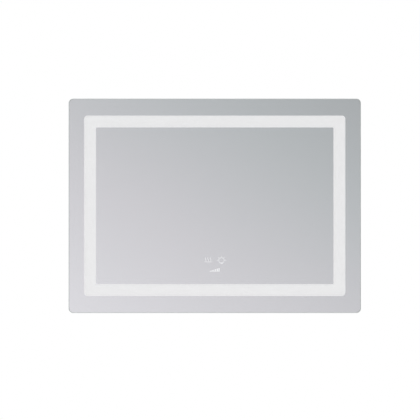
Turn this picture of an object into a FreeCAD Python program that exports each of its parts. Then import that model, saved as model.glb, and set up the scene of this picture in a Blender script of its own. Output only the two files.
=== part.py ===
import FreeCAD, Part
import math
import os

# Lighted bathroom mirror: a glass sheet with a frosted light band, bonded to a mitred aluminium chassis that
# holds the LED strips, the driver, the demister and the touch module, and hung on a wall cleat.
#
# Millimetres. X runs to the right, Z up, and the wall is the plane Y = 0. The glass faces -Y, so a depth d,
# measured from the wall towards the viewer, lies at Y = -d. Everything is drawn about the mirror's centre,
# and moved when it is saved, so that the origin is the middle of the wall cleat's screw line, on the wall.

# ---- Driving dimensions ----------------------------------------------------------------------------------

# Glass
glass_width = 762.0
glass_height = 559.0
glass_thickness = 5.0
glass_corner_radius = 12.0
edge_arris = 0.6
silver_thickness = 0.2
silver_edge_inset = 1.0

# Frosted light band
band_side_margin = 40.0
band_end_margin = 44.0
band_width = 31.0
band_outer_radius = 9.0
band_inner_radius = 2.0
frost_depth = 0.1

# Chassis rails
rail_inset = 22.0
rail_depth = 34.0
rail_wall = 1.6
rail_bend = 0.8
bond_flange = 14.0
rear_lip = 8.0
ledge_width = 32.0
ledge_height = 10.0
tape_thickness = 0.8
tape_inset = 1.0

# Corner brackets
bracket_leg = 60.0
bracket_width = 18.0
bracket_thickness = 2.0
bracket_play = 0.4
bracket_screw_place = 42.0

# Rubber wall bumpers
bumper_height = 3.0
bumper_width = 6.4
bumper_length = 26.0
bumper_place = 60.0

# Back panel
panel_thickness = 1.0
panel_play = 0.5
panel_corner_cut = 3.0
rib_width = 14.0
rib_height = 3.0
rib_draft = 2.5
rib_thickness = 0.8
rib_inner_x = 92.0
rib_edge_gap = 63.5
rib_low_gap = 57.0
rib_top_gap = 41.0
vent_width = 3.0
vent_length = 26.0
vent_pitch = 11.0
vents_in_row = 7
vent_rise = 62.0

# Screws and rivets
screw_radius = 1.9
screw_play = 0.1
screw_head_radius = 3.6
screw_head_height = 2.2
screw_length = 7.0
screw_line = 15.0
panel_screw_spacing = 220.0
rivet_radius = 1.6
rivet_head_radius = 3.0
rivet_head_height = 1.0

# Light box
diffuser_thickness = 2.0
diffuser_lap = 3.0
reflector_thickness = 0.8
reflector_flange = 8.0
reflector_play = 0.5
strip_width = 10.0
strip_thickness = 1.0
strip_height = 22.0
strip_end_gap = 14.0
led_length = 3.5
led_width = 2.8
led_height = 0.8
led_pitch = 50.0
jumper_radius = 0.8
jumper_lap = 4.0

# Wiring box in the middle of the panel, and its cover
wiring_z = 45.0
wiring_box_width = 100.0
wiring_box_height = 88.0
wiring_box_depth = 18.0
wiring_box_wall = 0.8
wiring_box_flange = 9.0
wiring_box_cut = 4.0
cover_thickness = 1.0
cover_flange = 12.0
cover_dish = 6.0
cover_draft = 3.0
cover_cut = 6.0
cover_screw_inset = 6.5
grommet_bore = 4.2
grommet_neck = 6.5
grommet_collar = 9.5
grommet_lip = 1.6
bushing_neck = 3.4
bushing_collar = 4.4
bushing_lip = 1.2
terminal_width = 36.0
terminal_height = 20.0
terminal_depth = 13.0
terminal_poles = 3
terminal_well = 2.2
terminal_screw_height = 2.0

# Electronics modules on the panel
module_edge_gap = 79.5
module_touch_gap = 63.25
module_height = 50.0
module_depth = 20.0
module_wall = 1.8
module_cut = 3.0
module_ear = 11.0
module_boss = 6.0
module_rim = 3.0
driver_width = 140.0
relay_width = 92.0
board_thickness = 1.6
board_standoff = 2.5
board_play = 0.3

# Touch module behind the marks
touch_width = 76.0
touch_height = 62.0
touch_depth = 9.0
touch_wall = 1.6
touch_cut = 4.0
window_thickness = 0.5
light_well_margin = 2.5

# Marks cut out of the silvering
icon_rise = 138.5
icon_spread = 17.5
level_rise = 112.0
stroke = 1.3
steam_width = 22.0
steam_height = 12.0
lamp_width = 24.0
lamp_height = 21.0
lamp_radius = 7.2
level_width = 27.0
level_height = 10.0
level_bars = 6

# Demister
pad_width = 340.0
pad_height = 232.0
pad_thickness = 0.4
pad_cut = 10.0
pad_centre_z = 44.0
pad_boss_x = 70.0
pad_boss_width = 34.0
pad_boss_height = 16.0
pad_boss_depth = 6.0
pad_boss_rise = 12.0
track_width = 2.0
track_thickness = 0.15
track_runs = 16
track_margin = 14.0
track_rise = 28.0

# Leads held inside
lead_radius = 2.2
lead_lift = 6.0
lead_bend = 16.0
lead_spread = 12.0
supply_x = 10.0
touch_lead_x = 22.0
clip_wall = 1.4
clip_length = 8.0
clip_foot = 4.0
clip_base = 1.2

# Cleats
hang_drop = 104.5
cleat_length = 450.0
cleat_thickness = 2.0
cleat_bend = 0.6
cleat_leg = 18.0
cleat_flange = 20.0
cleat_play = 0.5
wall_flange = 16.0
wall_hook_depth = 9.4
wall_slot_radius = 2.6
wall_slot_length = 16.0
wall_screw_spacings = (406.4, 203.2)
cleat_rivets = 5
cleat_rivet_inset = 20.0

# Small holes, fasteners and leads have flat sides, which keeps the model light. Their radius is to the flats.
flat_sides = 6
grommet_sides = 12

# ---- Sizes that follow from them -------------------------------------------------------------------------

rail_back = bumper_height
rail_front = rail_back + rail_depth
ledge_back = rail_back + ledge_height
ledge_front = ledge_back + rail_wall
panel_front = ledge_back
panel_back = panel_front - panel_thickness
silver_back = rail_front + tape_thickness
glass_back = silver_back + silver_thickness
glass_front = glass_back + glass_thickness

glass_x = glass_width / 2
glass_z = glass_height / 2
chassis_x = glass_x - rail_inset
chassis_z = glass_z - rail_inset
band_x = glass_x - band_side_margin
band_z = glass_z - band_end_margin
panel_x = chassis_x - rear_lip - panel_play
panel_z = chassis_z - rear_lip - panel_play
icon_z = icon_rise - glass_z
level_z = level_rise - glass_z
touch_z = (icon_z + level_z) / 2
module_z = touch_z + touch_height / 2 + module_touch_gap
module_reach = panel_x - module_edge_gap - module_ear
driver_x = driver_width / 2 - module_reach
relay_x = module_reach - relay_width / 2
hang_rise = glass_z - hang_drop

hole_radius = screw_radius + screw_play
rivet_hole_radius = rivet_radius + screw_play
lead_hole_radius = lead_radius + screw_play
strip_face = rail_wall + strip_thickness
strip_middle = rail_back + strip_height
lead_depth = panel_front + lead_lift
feed_z = module_z + lead_spread
wiring_box_floor = panel_front + wiring_box_depth
opening_x = wiring_box_width / 2 - cover_flange - cover_draft
opening_z = wiring_box_height / 2 - cover_flange - cover_draft
cover_back = panel_back - cover_thickness - cover_dish
touch_front = silver_back - window_thickness
touch_back = touch_front - touch_depth
pad_back = silver_back - pad_thickness
pad_boss_z = pad_centre_z - pad_height / 2 + pad_boss_rise
hook_base = hang_rise + wall_flange / 2 - cleat_thickness
hook_top = hook_base + cleat_leg

# The turn that carries a piece drawn for the bottom side to each of the four sides.
SIDES = {"bottom": 0, "left": 90, "top": 180, "right": 270}
CORNERS = {"bottom_left": (-1, -1), "bottom_right": (1, -1), "top_left": (-1, 1), "top_right": (1, 1)}
HANDS = (-1, 1)
ACROSS = FreeCAD.Vector(1, 0, 0)
OUTWARD = FreeCAD.Vector(0, -1, 0)
UPWARD = FreeCAD.Vector(0, 0, 1)
CENTRE = (0, 0)
TINY = 1e-6


# ---- Drawing aids ----------------------------------------------------------------------------------------

def point(x, depth, z):
    return FreeCAD.Vector(x, -depth, z)


def block(x_span, depth_span, z_span):
    """A plain block between two places on each axis."""
    low = point(min(x_span), max(depth_span), min(z_span))
    sizes = [max(span) - min(span) for span in (x_span, depth_span, z_span)]
    return Part.makeBox(*sizes, low)


def bend_places(before, here, after, radius):
    """Where an arc that rounds a corner starts, its middle, and where it ends."""
    back = (before - here).normalize()
    on = (after - here).normalize()
    half_angle = back.getAngle(on) / 2
    reach = radius / math.tan(half_angle)
    rise = radius / math.sin(half_angle) - radius
    return here + back * reach, here + (back + on).normalize() * rise, here + on * reach


def rounded_wire(corners):
    """A closed wire through corners, each a vector and the radius that rounds it."""
    count = len(corners)
    bends = []
    for index, (here, radius) in enumerate(corners):
        bends.append(bend_places(corners[index - 1][0], here, corners[(index + 1) % count][0], radius))
    edges = []
    for index, (start, middle, end) in enumerate(bends):
        if corners[index][1] > 0:
            edges.append(Part.Arc(start, middle, end).toShape())
        following = bends[(index + 1) % count][0]
        if end.distanceToPoint(following) > TINY:
            edges.append(Part.LineSegment(end, following).toShape())
    return Part.Wire(edges)


def rounded_rectangle(half_x, half_z, radius, depth, centre=CENTRE):
    corners = []
    for hand_x, hand_z in ((-1, -1), (1, -1), (1, 1), (-1, 1)):
        corners.append((point(centre[0] + hand_x * half_x, depth, centre[1] + hand_z * half_z), radius))
    return rounded_wire(corners)


def plate(half_x, half_z, radius, depth_span, centre=CENTRE):
    """A flat plate with rounded corners, parallel to the wall."""
    near, far = min(depth_span), max(depth_span)
    return Part.Face(rounded_rectangle(half_x, half_z, radius, near, centre)).extrude(OUTWARD * (far - near))


def polygon(corners):
    return Part.makePolygon(corners + corners[:1])


def cut_rectangle(half_x, half_z, cut, depth, centre=CENTRE):
    """A rectangle with its corners cut off at 45 degrees."""
    x, z = centre
    corners = []
    for hand_x, hand_z in ((-1, -1), (1, -1), (1, 1), (-1, 1)):
        ends = [(half_x, half_z - cut), (half_x - cut, half_z)]
        if hand_x != hand_z:
            ends.reverse()
        corners += [point(x + hand_x * end_x, depth, z + hand_z * end_z) for end_x, end_z in ends]
    return polygon(corners)


def cut_plate(half_x, half_z, cut, depth_span, centre=CENTRE):
    """A flat plate with its corners cut off, parallel to the wall."""
    near, far = min(depth_span), max(depth_span)
    return Part.Face(cut_rectangle(half_x, half_z, cut, near, centre)).extrude(OUTWARD * (far - near))


def tray(half_x, half_z, cut, floor_depth, rim_depth, wall, centre=CENTRE):
    """A box with its closed side at the depth floor_depth and its open side at rim_depth."""
    inward = math.copysign(1, rim_depth - floor_depth)
    hollow = (floor_depth + inward * wall, rim_depth + inward)
    outside = cut_plate(half_x, half_z, cut, (floor_depth, rim_depth), centre)
    return outside.cut(cut_plate(half_x - wall, half_z - wall, cut - wall / 2, hollow, centre))


def dish(half_x, half_z, cut, draft, foot_depth, crown_depth, centre=CENTRE):
    """A pressed form that draws in from its foot to its crown, as a solid."""
    foot = cut_rectangle(half_x, half_z, cut, foot_depth, centre)
    crown = cut_rectangle(half_x - draft, half_z - draft, cut - draft / 2, crown_depth, centre)
    return Part.makeLoft([foot, crown], True, True)


def ring(middle, along, radius, sides):
    """A closed wire about a middle, square to the direction along, with its flat sides at a radius."""
    level = ACROSS if abs(along.x) < along.Length / 2 else UPWARD
    first = along.cross(level).normalize()
    second = along.cross(first).normalize()
    reach = radius / math.cos(math.pi / sides)
    corners = []
    for index in range(sides):
        turn = 2 * math.pi * (index + 0.5) / sides
        corners.append(middle + first * (reach * math.sin(turn)) + second * (reach * math.cos(turn)))
    return polygon(corners)


def bar(start, along, radius, sides=flat_sides):
    """A straight bar with flat sides, from its start along a vector as long as the bar."""
    return Part.Face(ring(start, along, radius, sides)).extrude(along)


def rod(x, z, radius, depth_span):
    """A bar square to the wall."""
    near, far = min(depth_span), max(depth_span)
    return bar(point(x, near, z), OUTWARD * (far - near), radius)


def drill(shape, places, radius, depth_span):
    return shape.cut([rod(x, z, radius, depth_span) for x, z in places])


def lead(places, radius, bend):
    """A lead along straight runs joined by arcs of the radius bend."""
    edges = []
    start = places[0]
    for before, here, after in zip(places, places[1:], places[2:]):
        arc_start, middle, arc_end = bend_places(before, here, after, bend)
        edges.append(Part.LineSegment(start, arc_start).toShape())
        edges.append(Part.Arc(arc_start, middle, arc_end).toShape())
        start = arc_end
    edges.append(Part.LineSegment(start, places[-1]).toShape())
    end = ring(places[0], places[1] - places[0], radius, flat_sides)
    return Part.Wire(edges).makePipeShell([end], True, False)


# ---- Pieces that run round the four sides ----------------------------------------------------------------

def frame_run(side, half_x, half_z):
    """Half the length of a frame's side, and how far that side lies from the centre."""
    return (half_x, half_z) if side in ("bottom", "top") else (half_z, half_x)


def on_side(shape, side):
    return shape.rotated(FreeCAD.Vector(), FreeCAD.Vector(0, 1, 0), SIDES[side])


def mitred_run(profile, half_run, half_other):
    """A profile of (inward, depth, radius) corners, run along the bottom side and cut at 45 degrees."""
    outreach = rail_inset
    start = -half_run - outreach
    section = [(point(start, depth, inward - half_other), radius) for inward, depth, radius in profile]
    run = Part.Face(rounded_wire(section)).extrude(ACROSS * (2 * (half_run + outreach)))
    reach = min(half_run, half_other)
    low = -half_other - outreach
    corners = [(start, low), (-start, low), (half_run - reach, reach - half_other)]
    if half_run - reach > 0:
        corners.append((reach - half_run, reach - half_other))
    outline = polygon([point(x, 0, z) for x, z in corners])
    wedge = Part.Face(outline).extrude(OUTWARD * (2 * glass_front))
    return run.common(wedge)


def mitred_frame(profile, half_x, half_z):
    """The four mitred pieces of a frame with one profile, by side."""
    return {side: on_side(mitred_run(profile, *frame_run(side, half_x, half_z)), side) for side in SIDES}


# ---- Glass, silvering and marks --------------------------------------------------------------------------

def band_outline(depth_span):
    return plate(band_x, band_z, band_outer_radius, depth_span)


def band_inside(depth_span):
    return plate(band_x - band_width, band_z - band_width, band_inner_radius, depth_span)


def glass_sheet():
    """Float glass with polished arrises, and the light band ground into its back."""
    sheet = plate(glass_x, glass_z, glass_corner_radius, (glass_back, glass_front))
    rims = [edge for edge in sheet.Edges if edge.BoundBox.YLength < edge_arris]
    ground = (glass_back, glass_back + frost_depth)
    return sheet.makeChamfer(edge_arris, rims).cut(band_outline(ground).cut(band_inside(ground)))


def silver_border():
    span = (silver_back, glass_back)
    half_x, half_z, radius = [size - silver_edge_inset for size in (glass_x, glass_z, glass_corner_radius)]
    return plate(half_x, half_z, radius, span).cut(band_outline(span))


def bar_stroke(start, end, span):
    """A straight stroke between two (x, z) places."""
    along = FreeCAD.Vector(end[0] - start[0], 0, end[1] - start[1])
    half_length = along.Length / 2
    stroke_bar = block((-half_length, half_length), span, (-stroke / 2, stroke / 2))
    turn = -math.degrees(math.atan2(along.z, along.x))
    middle = FreeCAD.Vector((start[0] + end[0]) / 2, 0, (start[1] + end[1]) / 2)
    return stroke_bar.rotated(FreeCAD.Vector(), FreeCAD.Vector(0, 1, 0), turn).translated(middle)


def arc_stroke(centre, radius, from_angle, to_angle, span):
    """A curved stroke, its angles in degrees from +X towards +Z."""
    def place(distance, angle):
        turn = math.radians(angle)
        return point(centre[0] + distance * math.cos(turn), min(span), centre[1] + distance * math.sin(turn))
    middle = (from_angle + to_angle) / 2
    inner, outer = radius - stroke / 2, radius + stroke / 2
    edges = [
        Part.Arc(place(outer, from_angle), place(outer, middle), place(outer, to_angle)).toShape(),
        Part.LineSegment(place(outer, to_angle), place(inner, to_angle)).toShape(),
        Part.Arc(place(inner, to_angle), place(inner, middle), place(inner, from_angle)).toShape(),
        Part.LineSegment(place(inner, from_angle), place(outer, from_angle)).toShape(),
    ]
    return Part.Face(Part.Wire(edges)).extrude(OUTWARD * (max(span) - min(span)))


def steam_mark(span):
    """Demister symbol: three wavy lines of steam over a base line."""
    x = -icon_spread
    base_z = icon_z - steam_height / 2 + stroke / 2
    half_base = steam_width / 2
    strokes = [bar_stroke((x - half_base, base_z), (x + half_base, base_z), span)]
    foot = base_z + 1.6 * stroke
    quarter = (steam_height - 2.1 * stroke) / 4
    for place in (-1, 0, 1):
        wave_x = x + place * steam_width * 0.3
        lower, upper = foot + quarter, foot + 3 * quarter
        strokes.append(arc_stroke((wave_x - quarter, lower), quarter * math.sqrt(2), -45, 45, span))
        strokes.append(arc_stroke((wave_x + quarter, upper), quarter * math.sqrt(2), 135, 225, span))
    return strokes


def lamp_mark(span):
    """Lamp symbol: an open bulb that narrows to a base bar, with short rays round it."""
    x = icon_spread
    base_z = icon_z - lamp_height / 2 + stroke / 2
    bulb_z = icon_z + lamp_height / 2 - lamp_width / 2
    opening = 50
    neck_x = lamp_radius * math.cos(math.radians(opening))
    neck_z = bulb_z - lamp_radius * math.sin(math.radians(opening))
    base_x = lamp_radius * 0.45
    bar_gap = 1.7 * stroke
    strokes = [arc_stroke((x, bulb_z), lamp_radius, -opening, 180 + opening, span)]
    for hand in HANDS:
        strokes.append(bar_stroke((x + hand * neck_x, neck_z), (x + hand * base_x, base_z + bar_gap), span))
    for bar_z in (base_z, base_z + bar_gap):
        strokes.append(bar_stroke((x - base_x, bar_z), (x + base_x, bar_z), span))
    for angle in range(0, 181, 45):
        turn = math.radians(angle)
        ray = FreeCAD.Vector(math.cos(turn), 0, math.sin(turn))
        near, far = ray * (lamp_radius + 1.5 * stroke), ray * (lamp_width / 2)
        strokes.append(bar_stroke((x + near.x, bulb_z + near.z), (x + far.x, bulb_z + far.z), span))
    return strokes


def level_mark(span):
    """Brightness scale: a row of rising bars."""
    pitch = level_width / level_bars
    foot = level_z - level_height / 2
    bars = []
    for index in range(level_bars):
        x = (index - (level_bars - 1) / 2) * pitch
        rise = level_height * (index + 2) / (level_bars + 1)
        bars.append(block((x - pitch * 0.3, x + pitch * 0.3), span, (foot, foot + rise)))
    return bars


def silver_centre():
    span = (silver_back, glass_back)
    return band_inside(span).cut(steam_mark(span) + lamp_mark(span) + level_mark(span))


# ---- Where the fasteners go ------------------------------------------------------------------------------

def panel_screw_places():
    places = []
    for side in ("bottom", "left"):
        half_run, half_other = frame_run(side, chassis_x, chassis_z)
        first = half_run - bracket_screw_place
        steps = math.ceil(2 * first / panel_screw_spacing)
        for index in range(steps + 1):
            along = -first + index * 2 * first / steps
            for across in (screw_line - half_other, half_other - screw_line):
                places.append((along, across) if side == "bottom" else (across, along))
    return places


def cover_screw_places():
    half_x, half_z = [size / 2 - cover_screw_inset for size in (wiring_box_width, wiring_box_height)]
    return [(x * half_x, wiring_z + z * half_z) for x, z in CORNERS.values()]


def module_screw_places():
    places = []
    for x, width in ((driver_x, driver_width), (relay_x, relay_width)):
        places += [(x + hand * (width + module_ear) / 2, module_z) for hand in HANDS]
    return places


def box_rivet_places():
    half_x = (wiring_box_width + wiring_box_flange) / 2
    return [(x * half_x, wiring_z + z * wiring_box_height / 3) for x, z in CORNERS.values()]


def cleat_rivet_places():
    run = cleat_length - 2 * cleat_rivet_inset
    z = hook_top + (cleat_flange + cleat_thickness) / 2
    return [(index * run / (cleat_rivets - 1) - run / 2, z) for index in range(cleat_rivets)]


def screw(x, z, seat):
    """A screw driven from the rear, its head resting on the depth seat."""
    head = rod(x, z, screw_head_radius, (seat - screw_head_height, seat))
    return head.fuse(rod(x, z, screw_radius, (seat, seat + screw_length))).removeSplitter()


def rivet(x, z, rear, front):
    """A pulled rivet, headed at the rear and spread in front."""
    body = rod(x, z, rivet_radius, (rear, front))
    rear_head = rod(x, z, rivet_head_radius, (rear - rivet_head_height, rear))
    front_head = rod(x, z, rivet_head_radius * 0.8, (front, front + rivet_head_height))
    return body.fuse([rear_head, front_head]).removeSplitter()


# ---- Chassis ---------------------------------------------------------------------------------------------

def rails():
    """Four lengths of one extrusion: outer wall, bonding flange, panel ledge and rear lip."""
    profile = [
        (0, rail_back, rail_bend),
        (rear_lip, rail_back, 0),
        (rear_lip, rail_back + rail_wall, 0),
        (rail_wall, rail_back + rail_wall, 0),
        (rail_wall, ledge_back, 0),
        (ledge_width, ledge_back, 0),
        (ledge_width, ledge_front, 0),
        (rail_wall, ledge_front, 0),
        (rail_wall, rail_front - rail_wall, 0),
        (bond_flange, rail_front - rail_wall, 0),
        (bond_flange, rail_front, 0),
        (0, rail_front, rail_bend),
    ]
    pieces = mitred_frame(profile, chassis_x, chassis_z)
    through = (ledge_back - rail_wall, ledge_front + rail_wall)
    return {side: drill(piece, panel_screw_places(), hole_radius, through) for side, piece in pieces.items()}


def corner_bracket(corner):
    """A flat steel angle on the ledges, which the end screws of two rails pull tight."""
    hand_x, hand_z = CORNERS[corner]
    out_x, out_z = [half - rail_wall - bracket_play for half in (chassis_x, chassis_z)]
    leg_x, leg_z = out_x - bracket_leg, out_z - bracket_leg
    inner_x, inner_z = out_x - bracket_width, out_z - bracket_width
    outline = [
        (out_x, out_z), (leg_x, out_z), (leg_x, inner_z),
        (inner_x, inner_z), (inner_x, leg_z), (out_x, leg_z),
    ]
    wire = polygon([point(hand_x * x, ledge_front, hand_z * z) for x, z in outline])
    angle = Part.Face(wire).extrude(OUTWARD * bracket_thickness)
    through = (ledge_front - bracket_thickness, ledge_front + 2 * bracket_thickness)
    return drill(angle, panel_screw_places(), hole_radius, through)


def bonding_tape():
    inner = bond_flange - tape_inset
    corners = ((tape_inset, rail_front), (inner, rail_front), (inner, silver_back), (tape_inset, silver_back))
    profile = [(inward, depth, 0) for inward, depth in corners]
    return Part.makeCompound(list(mitred_frame(profile, chassis_x, chassis_z).values()))


def wall_bumpers():
    """Rubber blocks on the rails' rear lips, near the ends of the top and bottom rails."""
    z = chassis_z - rear_lip / 2
    x = chassis_x - bumper_place
    half_x, half_z = bumper_length / 2, bumper_width / 2
    blocks = []
    for hand_x, hand_z in CORNERS.values():
        blocks.append(cut_plate(half_x, half_z, half_z / 2, (0, rail_back), (hand_x * x, hand_z * z)))
    return Part.makeCompound(blocks)


# ---- Light box -------------------------------------------------------------------------------------------

def diffusers():
    """Opal strips that lie on the silvering on both sides of the frosted band."""
    rear = silver_back - diffuser_thickness
    outer, inner = -diffuser_lap, band_width + diffuser_lap
    corners = ((outer, rear), (inner, rear), (inner, silver_back), (outer, silver_back))
    return mitred_frame([(inward, depth, 0) for inward, depth in corners], band_x, band_z)


def reflectors():
    """White sheet strips that slant from the rails' ledges up to the glass behind the diffusers."""
    near_band = min(band_side_margin, band_end_margin) - rail_inset
    far_band = max(band_side_margin, band_end_margin) - rail_inset
    foot_start = rail_wall + bracket_play + bracket_width + reflector_play - near_band
    foot_end = ledge_width - far_band
    flange_start = band_width + diffuser_lap + reflector_play
    flange_end = flange_start + reflector_flange
    flange_rear = silver_back - reflector_thickness
    shoulder = silver_back - diffuser_thickness - reflector_play
    foot_front = ledge_front + reflector_thickness
    corners = (
        (foot_start, ledge_front), (foot_end, ledge_front), (flange_start + reflector_thickness, shoulder),
        (flange_start + reflector_thickness, flange_rear), (flange_end, flange_rear),
        (flange_end, silver_back), (flange_start, silver_back), (flange_start, shoulder),
        (foot_end - reflector_thickness / 2, foot_front), (foot_start, foot_front),
    )
    pieces = mitred_frame([(inward, depth, 0) for inward, depth in corners], band_x, band_z)
    feed_hole = bar(point(-chassis_x, strip_middle, feed_z), ACROSS * chassis_x, lead_hole_radius)
    pieces["left"] = pieces["left"].cut(feed_hole)
    return pieces


def led_strip(side):
    """A strip of LEDs along the inside of a rail's outer wall, with room left where the feed is soldered."""
    half_run, half_other = frame_run(side, chassis_x, chassis_z)
    half_length = half_run - strip_end_gap
    wall_z = rail_wall - half_other
    face_z = wall_z + strip_thickness
    board_span = (strip_middle - strip_width / 2, strip_middle + strip_width / 2)
    board = block((-half_length, half_length), board_span, (wall_z, face_z))
    count = int(2 * (half_length - jumper_lap - led_length) / led_pitch)
    light_span = (strip_middle - led_width / 2, strip_middle + led_width / 2)
    lights = []
    for index in range(count):
        x = (index - (count - 1) / 2) * led_pitch
        on_feed = side == "left" and abs(x + feed_z) < lead_radius + led_length
        if not on_feed:
            along = (x - led_length / 2, x + led_length / 2)
            lights.append(block(along, light_span, (face_z, face_z + led_height)))
    return on_side(board.fuse(lights), side)


def led_leads():
    """The feed from the driver to the left strip, and the jumpers that cut across three corners."""
    feed_places = (driver_x - driver_width / 2, strip_face - chassis_x)
    feed = lead([point(x, strip_middle, feed_z) for x in feed_places], lead_radius, lead_bend)
    pieces = [feed]
    near, far = strip_face + jumper_radius, strip_end_gap + jumper_lap
    for corner in ("bottom_left", "top_left", "top_right"):
        hand_x, hand_z = CORNERS[corner]
        upright = point(hand_x * (chassis_x - near), strip_middle, hand_z * (chassis_z - far))
        level = point(hand_x * (chassis_x - far), strip_middle, hand_z * (chassis_z - near))
        pieces.append(bar(upright, level - upright, jumper_radius))
    return Part.makeCompound(pieces)


# ---- Back panel ------------------------------------------------------------------------------------------

def rib(x, foot_depth, crown_depth, inset):
    """A rib's form as a solid, from its foot on the panel to its crown nearer the wall."""
    low, high = rib_low_gap - panel_z, hook_base - rib_top_gap
    middle = (x, (low + high) / 2)
    half_x, half_z = rib_width / 2 - inset, (high - low) / 2 - inset
    return dish(half_x, half_z, half_x / 2, rib_draft, foot_depth, crown_depth, middle)


def panel_ribs():
    """Pressed steel ribs welded to the panel's rear."""
    crown = panel_back - rib_height
    places = [hand * x for hand in HANDS for x in (rib_inner_x, panel_x - rib_edge_gap)]
    ribs = [rib(x, panel_back, crown, 0).cut(rib(x, panel_back, crown + rib_thickness, rib_thickness))
            for x in places]
    return Part.makeCompound(ribs)


def vent_places():
    """The middles of the vent slots, in rows above and below the two modules."""
    places = []
    for module_x in (driver_x, relay_x):
        for rise in (vent_rise, -vent_rise):
            for index in range(vents_in_row):
                places.append((module_x + (index - (vents_in_row - 1) / 2) * vent_pitch, module_z + rise))
    return places


def back_panel():
    """Steel sheet with vents, the wiring opening and its holes."""
    sheet = cut_plate(panel_x, panel_z, panel_corner_cut, (panel_back, panel_front))
    through = (panel_back - panel_thickness, panel_front + panel_thickness)
    half_x, half_z = vent_width / 2, vent_length / 2
    vents = [block((x - half_x, x + half_x), through, (z - half_z, z + half_z)) for x, z in vent_places()]
    opening = cut_plate(opening_x, opening_z, wiring_box_cut, through, (0, wiring_z))
    screw_places = panel_screw_places() + module_screw_places() + cover_screw_places()
    sheet = drill(sheet.cut(vents + [opening]), screw_places, hole_radius, through)
    return drill(sheet, box_rivet_places() + cleat_rivet_places(), rivet_hole_radius, through)


# ---- Wiring box ------------------------------------------------------------------------------------------

def bushing_ends():
    """The middles of the two lead exits in the box's lower wall."""
    z = wiring_z - wiring_box_height / 2 + wiring_box_wall / 2
    return [point(hand * supply_x, lead_depth, z) for hand in HANDS]


def along_z(middle, radius, half_length):
    return bar(middle - UPWARD * half_length, UPWARD * (2 * half_length), radius)


def wiring_box():
    """A pressed steel box on the panel's front, open towards the wall, with two lead exits below."""
    centre = (0, wiring_z)
    half_x, half_z = wiring_box_width / 2, wiring_box_height / 2
    box = tray(half_x, half_z, wiring_box_cut, wiring_box_floor, panel_front, wiring_box_wall, centre)
    foot = (panel_front, panel_front + wiring_box_wall)
    foot_x, foot_z = half_x + wiring_box_flange, half_z + wiring_box_flange
    flange = cut_plate(foot_x, foot_z, wiring_box_cut, foot, centre)
    hollow_x, hollow_z = half_x - wiring_box_wall, half_z - wiring_box_wall
    flange = flange.cut(cut_plate(hollow_x, hollow_z, wiring_box_cut - wiring_box_wall / 2, foot, centre))
    exits = [along_z(middle, bushing_neck + screw_play, wiring_box_wall) for middle in bushing_ends()]
    box = box.fuse(flange).removeSplitter().cut(exits)
    return drill(box, box_rivet_places(), rivet_hole_radius, (panel_front - 1, panel_front + 2))


def lead_bushings():
    """Rubber bushings that line the two exits."""
    half_wall = wiring_box_wall / 2
    pieces = []
    for middle in bushing_ends():
        offset = UPWARD * (half_wall + bushing_lip / 2)
        collars = [along_z(middle + offset * hand, bushing_collar, bushing_lip / 2) for hand in HANDS]
        body = along_z(middle, bushing_neck, half_wall).fuse(collars)
        bore = along_z(middle, lead_hole_radius, half_wall + 2 * bushing_lip)
        pieces.append(body.cut(bore).removeSplitter())
    return Part.makeCompound(pieces)


def wiring_cover():
    """A dished steel cover over the panel's opening, with the inlet hole in its floor."""
    centre = (0, wiring_z)
    half_x, half_z = opening_x + cover_draft, opening_z + cover_draft
    seat = panel_back - cover_thickness
    flange = cut_plate(wiring_box_width / 2, wiring_box_height / 2, cover_cut, (seat, panel_back), centre)
    outside = dish(half_x, half_z, cover_cut, cover_draft, seat, cover_back, centre)
    wall = cover_thickness * 0.6
    inside_floor = cover_back + cover_thickness
    inside = dish(half_x - wall, half_z - wall, cover_cut, cover_draft, panel_back, inside_floor, centre)
    cover = flange.fuse(outside).removeSplitter().cut(inside)
    cover = drill(cover, cover_screw_places(), hole_radius, (seat - 1, panel_back + 1))
    floor = (cover_back - cover_thickness, cover_back + 2 * cover_thickness)
    return drill(cover, [centre], grommet_neck + screw_play, floor)


def cable_grommet():
    """The rubber inlet: a collar on each side of the cover's floor, and a round bore."""
    rear = cover_back - grommet_lip
    inside = cover_back + cover_thickness
    front = inside + grommet_lip
    edges = (
        (rear, cover_back, grommet_collar), (cover_back, inside, grommet_neck),
        (inside, front, grommet_collar - grommet_lip),
    )
    rounds = [bar(point(0, start, wiring_z), OUTWARD * (end - start), radius, grommet_sides)
              for start, end, radius in edges]
    bore = Part.makeCylinder(grommet_bore, front - rear, point(0, rear, wiring_z), OUTWARD)
    return rounds[0].fuse(rounds[1:]).removeSplitter().cut(bore)


def terminal_places():
    """The middles of the clamping screws, in two rows."""
    pitch = terminal_width / terminal_poles
    columns = [(index - (terminal_poles - 1) / 2) * pitch for index in range(terminal_poles)]
    return [(x, wiring_z + hand * terminal_height / 4) for x in columns for hand in HANDS]


def terminal_front():
    return wiring_box_floor - wiring_box_wall


def terminal_block():
    """A barrier strip on the box's floor, its clamping screws facing the opening."""
    rear = terminal_front() - terminal_depth
    body = block((-terminal_width / 2, terminal_width / 2), (rear, terminal_front()),
                 (wiring_z - terminal_height / 2, wiring_z + terminal_height / 2))
    body = drill(body, terminal_places(), terminal_well, (rear - 1, rear + terminal_depth / 2))
    entries = []
    for x in sorted({x for x, _ in terminal_places()}):
        mouth = point(x, rear + terminal_depth * 0.75, wiring_z + terminal_height / 4)
        entries.append(along_z(mouth, terminal_well * 0.8, terminal_height / 2))
    return body.cut(entries)


def terminal_screws():
    seat = terminal_front() - terminal_depth / 2
    radius = terminal_well - 2 * screw_play
    pieces = []
    for x, z in terminal_places():
        slot_span = (seat - terminal_screw_height, seat - terminal_screw_height / 2)
        slot = block((x - radius, x + radius), slot_span, (z - radius / 6, z + radius / 6))
        pieces.append(rod(x, z, radius, (seat - terminal_screw_height, seat)).cut(slot))
    return Part.makeCompound(pieces)


# ---- Electronics modules ---------------------------------------------------------------------------------

def board_depth():
    return panel_front + module_wall + board_standoff


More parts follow.
